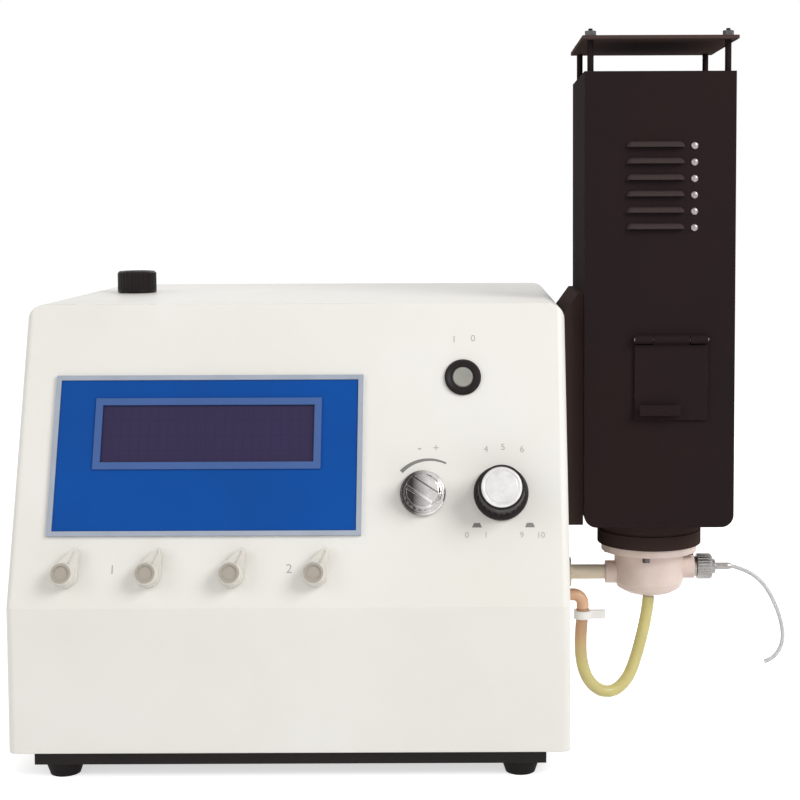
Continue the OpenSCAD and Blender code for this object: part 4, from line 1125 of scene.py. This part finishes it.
GAS_HOSE = SoftTube(
    "gas_tube", "gas_hose",
    ((-51.5, -18, 80), (-52, -18, 70), (-53, -18, 57), (-52.2, -17.4, 38), (-45.6, -15.4, 21),
     (-31.2, -11, 12.2), (-17.2, -6.6, 20.6), (-9.6, -3.8, 39), (-4, -1.2, 59), (-1, 0, 74),
     (0, 0, 84)),
    0.009, Finishes.VINYL, "hose_vinyl", FarEnd.OBJECT, Stiffness.LIMP)
SAMPLE_TUBE = SoftTube(
    "sample_tube", "sample_capillary",
    ((62.5, 0, 107), (70, -1, 105), (80, -3, 100.5), (88, -6, 92.5), (93, -8, 83.5),
     (96.5, -10, 75), (99, -12, 66), (100, -14, 56), (97.5, -15, 47), (92, -16, 40.5),
     (85.5, -16, 37.5)),
    0.003, Finishes.CAPILLARY, "capillary_clear", FarEnd.BARE, Stiffness.STIFF)


@dataclass(frozen=True)
class SoftBox:
    """A rectangular lamp: its place, the point that it faces, its size and its watts."""

    name: str
    place: Point
    aim: Point
    size: Span
    power: float

    def build(self) -> None:
        """Hangs the lamp."""
        data = bpy.data.lights.new(self.name, "AREA")
        data.shape = "RECTANGLE"
        data.size, data.size_y = self.size
        data.energy = self.power
        lamp = add_object(self.name, data)
        lamp.location = self.place
        beam = Vector(self.aim) - Vector(self.place)
        lamp.rotation_euler = beam.to_track_quat("-Z", "Y").to_euler()


@dataclass
class Studio:
    """White floor, soft light and the photograph's camera."""

    eye: Point = (0.0552, -1.1783, 0.3846)
    focal: float = 69.5
    sensor: float = 36.0
    far: float = 50.0
    pitch: float = math.radians(3.80)
    roll: float = math.radians(0.22)
    shift: Span = (-0.0875, -0.12)
    floor_half: float = 12.0
    floor_colour: Colour = (0.86, 0.86, 0.86)
    floor_roughness: float = 0.9
    floor_white: float = 0.62
    sky_colour: Colour = (1.0, 0.995, 0.985)
    sky_light: float = 0.5
    lamps: tuple[SoftBox, ...] = (
        SoftBox("key", (1.7, -1.5, 1.6), (0.0, 0.0, 0.2), (1.2, 1.2), 36.0),
        SoftBox("fill", (-1.7, -1.4, 1.1), (0.0, 0.0, 0.2), (1.2, 1.6), 9.0),
        SoftBox("back", (0.2, 1.7, 1.6), (0.0, 0.0, 0.25), (2.0, 1.2), 8.0))

    def camera(self) -> None:
        """Makes the camera at the photograph's viewing angle."""
        data = bpy.data.cameras.new("camera")
        data.lens = self.focal
        data.sensor_width = self.sensor
        data.shift_x, data.shift_y = self.shift
        data.clip_end = self.far
        eye = add_object("camera", data)
        eye.location = self.eye
        eye.rotation_euler = (Matrix.Rotation(math.pi / 2 - self.pitch, 3, "X")
                              @ Matrix.Rotation(-self.roll, 3, "Z")).to_euler()
        bpy.context.scene.camera = eye

    def floor(self) -> None:
        """Makes the pale floor."""
        mesh = bmesh.new()
        bmesh.ops.create_grid(mesh, x_segments=1, y_segments=1, size=self.floor_half)
        data = bpy.data.meshes.new("floor")
        mesh.to_mesh(data)
        mesh.free()
        made = add_object("floor", data)
        white = bpy.data.materials.new("floor_white")
        sheet = NodeSheet(white)
        sheet.feed("Base Color", self.floor_colour)
        sheet.feed("Roughness", self.floor_roughness)
        sheet.feed("Specular IOR Level", 0.0)
        sheet.feed("Emission Color", WHITE)
        sheet.feed("Emission Strength", sheet.maths("MULTIPLY", sheet.seen(), self.floor_white))
        data.materials.append(white)

    def world(self) -> None:
        """Makes a white surrounding that lights the object softly."""
        world = bpy.data.worlds.new("studio")
        sheet = NodeSheet(world, "Background")
        sheet.feed("Color", self.sky_colour)
        sheet.feed("Strength", self.sky_light)
        white = sheet.add("Background", {"Color": WHITE})
        blend = sheet.add("MixShader", {0: sheet.seen(), 1: sheet.shader.outputs[0],
                                        2: white.outputs[0]})
        sheet.feed(sheet.tree.nodes["World Output"].inputs["Surface"], blend.outputs[0])
        bpy.context.scene.world = world

    def build(self) -> None:
        """Sets up the whole studio."""
        bpy.context.scene.view_settings.view_transform = "Standard"
        self.camera()
        self.floor()
        self.world()
        for lamp in self.lamps:
            lamp.build()
        LOG.info("set up the studio")


def main() -> None:
    logging.basicConfig(level=logging.INFO, format="%(name)s: %(message)s")
    Studio().build()
    GAS_HOSE.build()
    SAMPLE_TUBE.build()
    for assembly in (Cabinet(), Display(), PanelPrint(), Controls(), Chimney(), Burner(),
                     Inside()):
        assembly.build()
    bpy.context.view_layer.update()


if __name__ == "__main__":
    main()
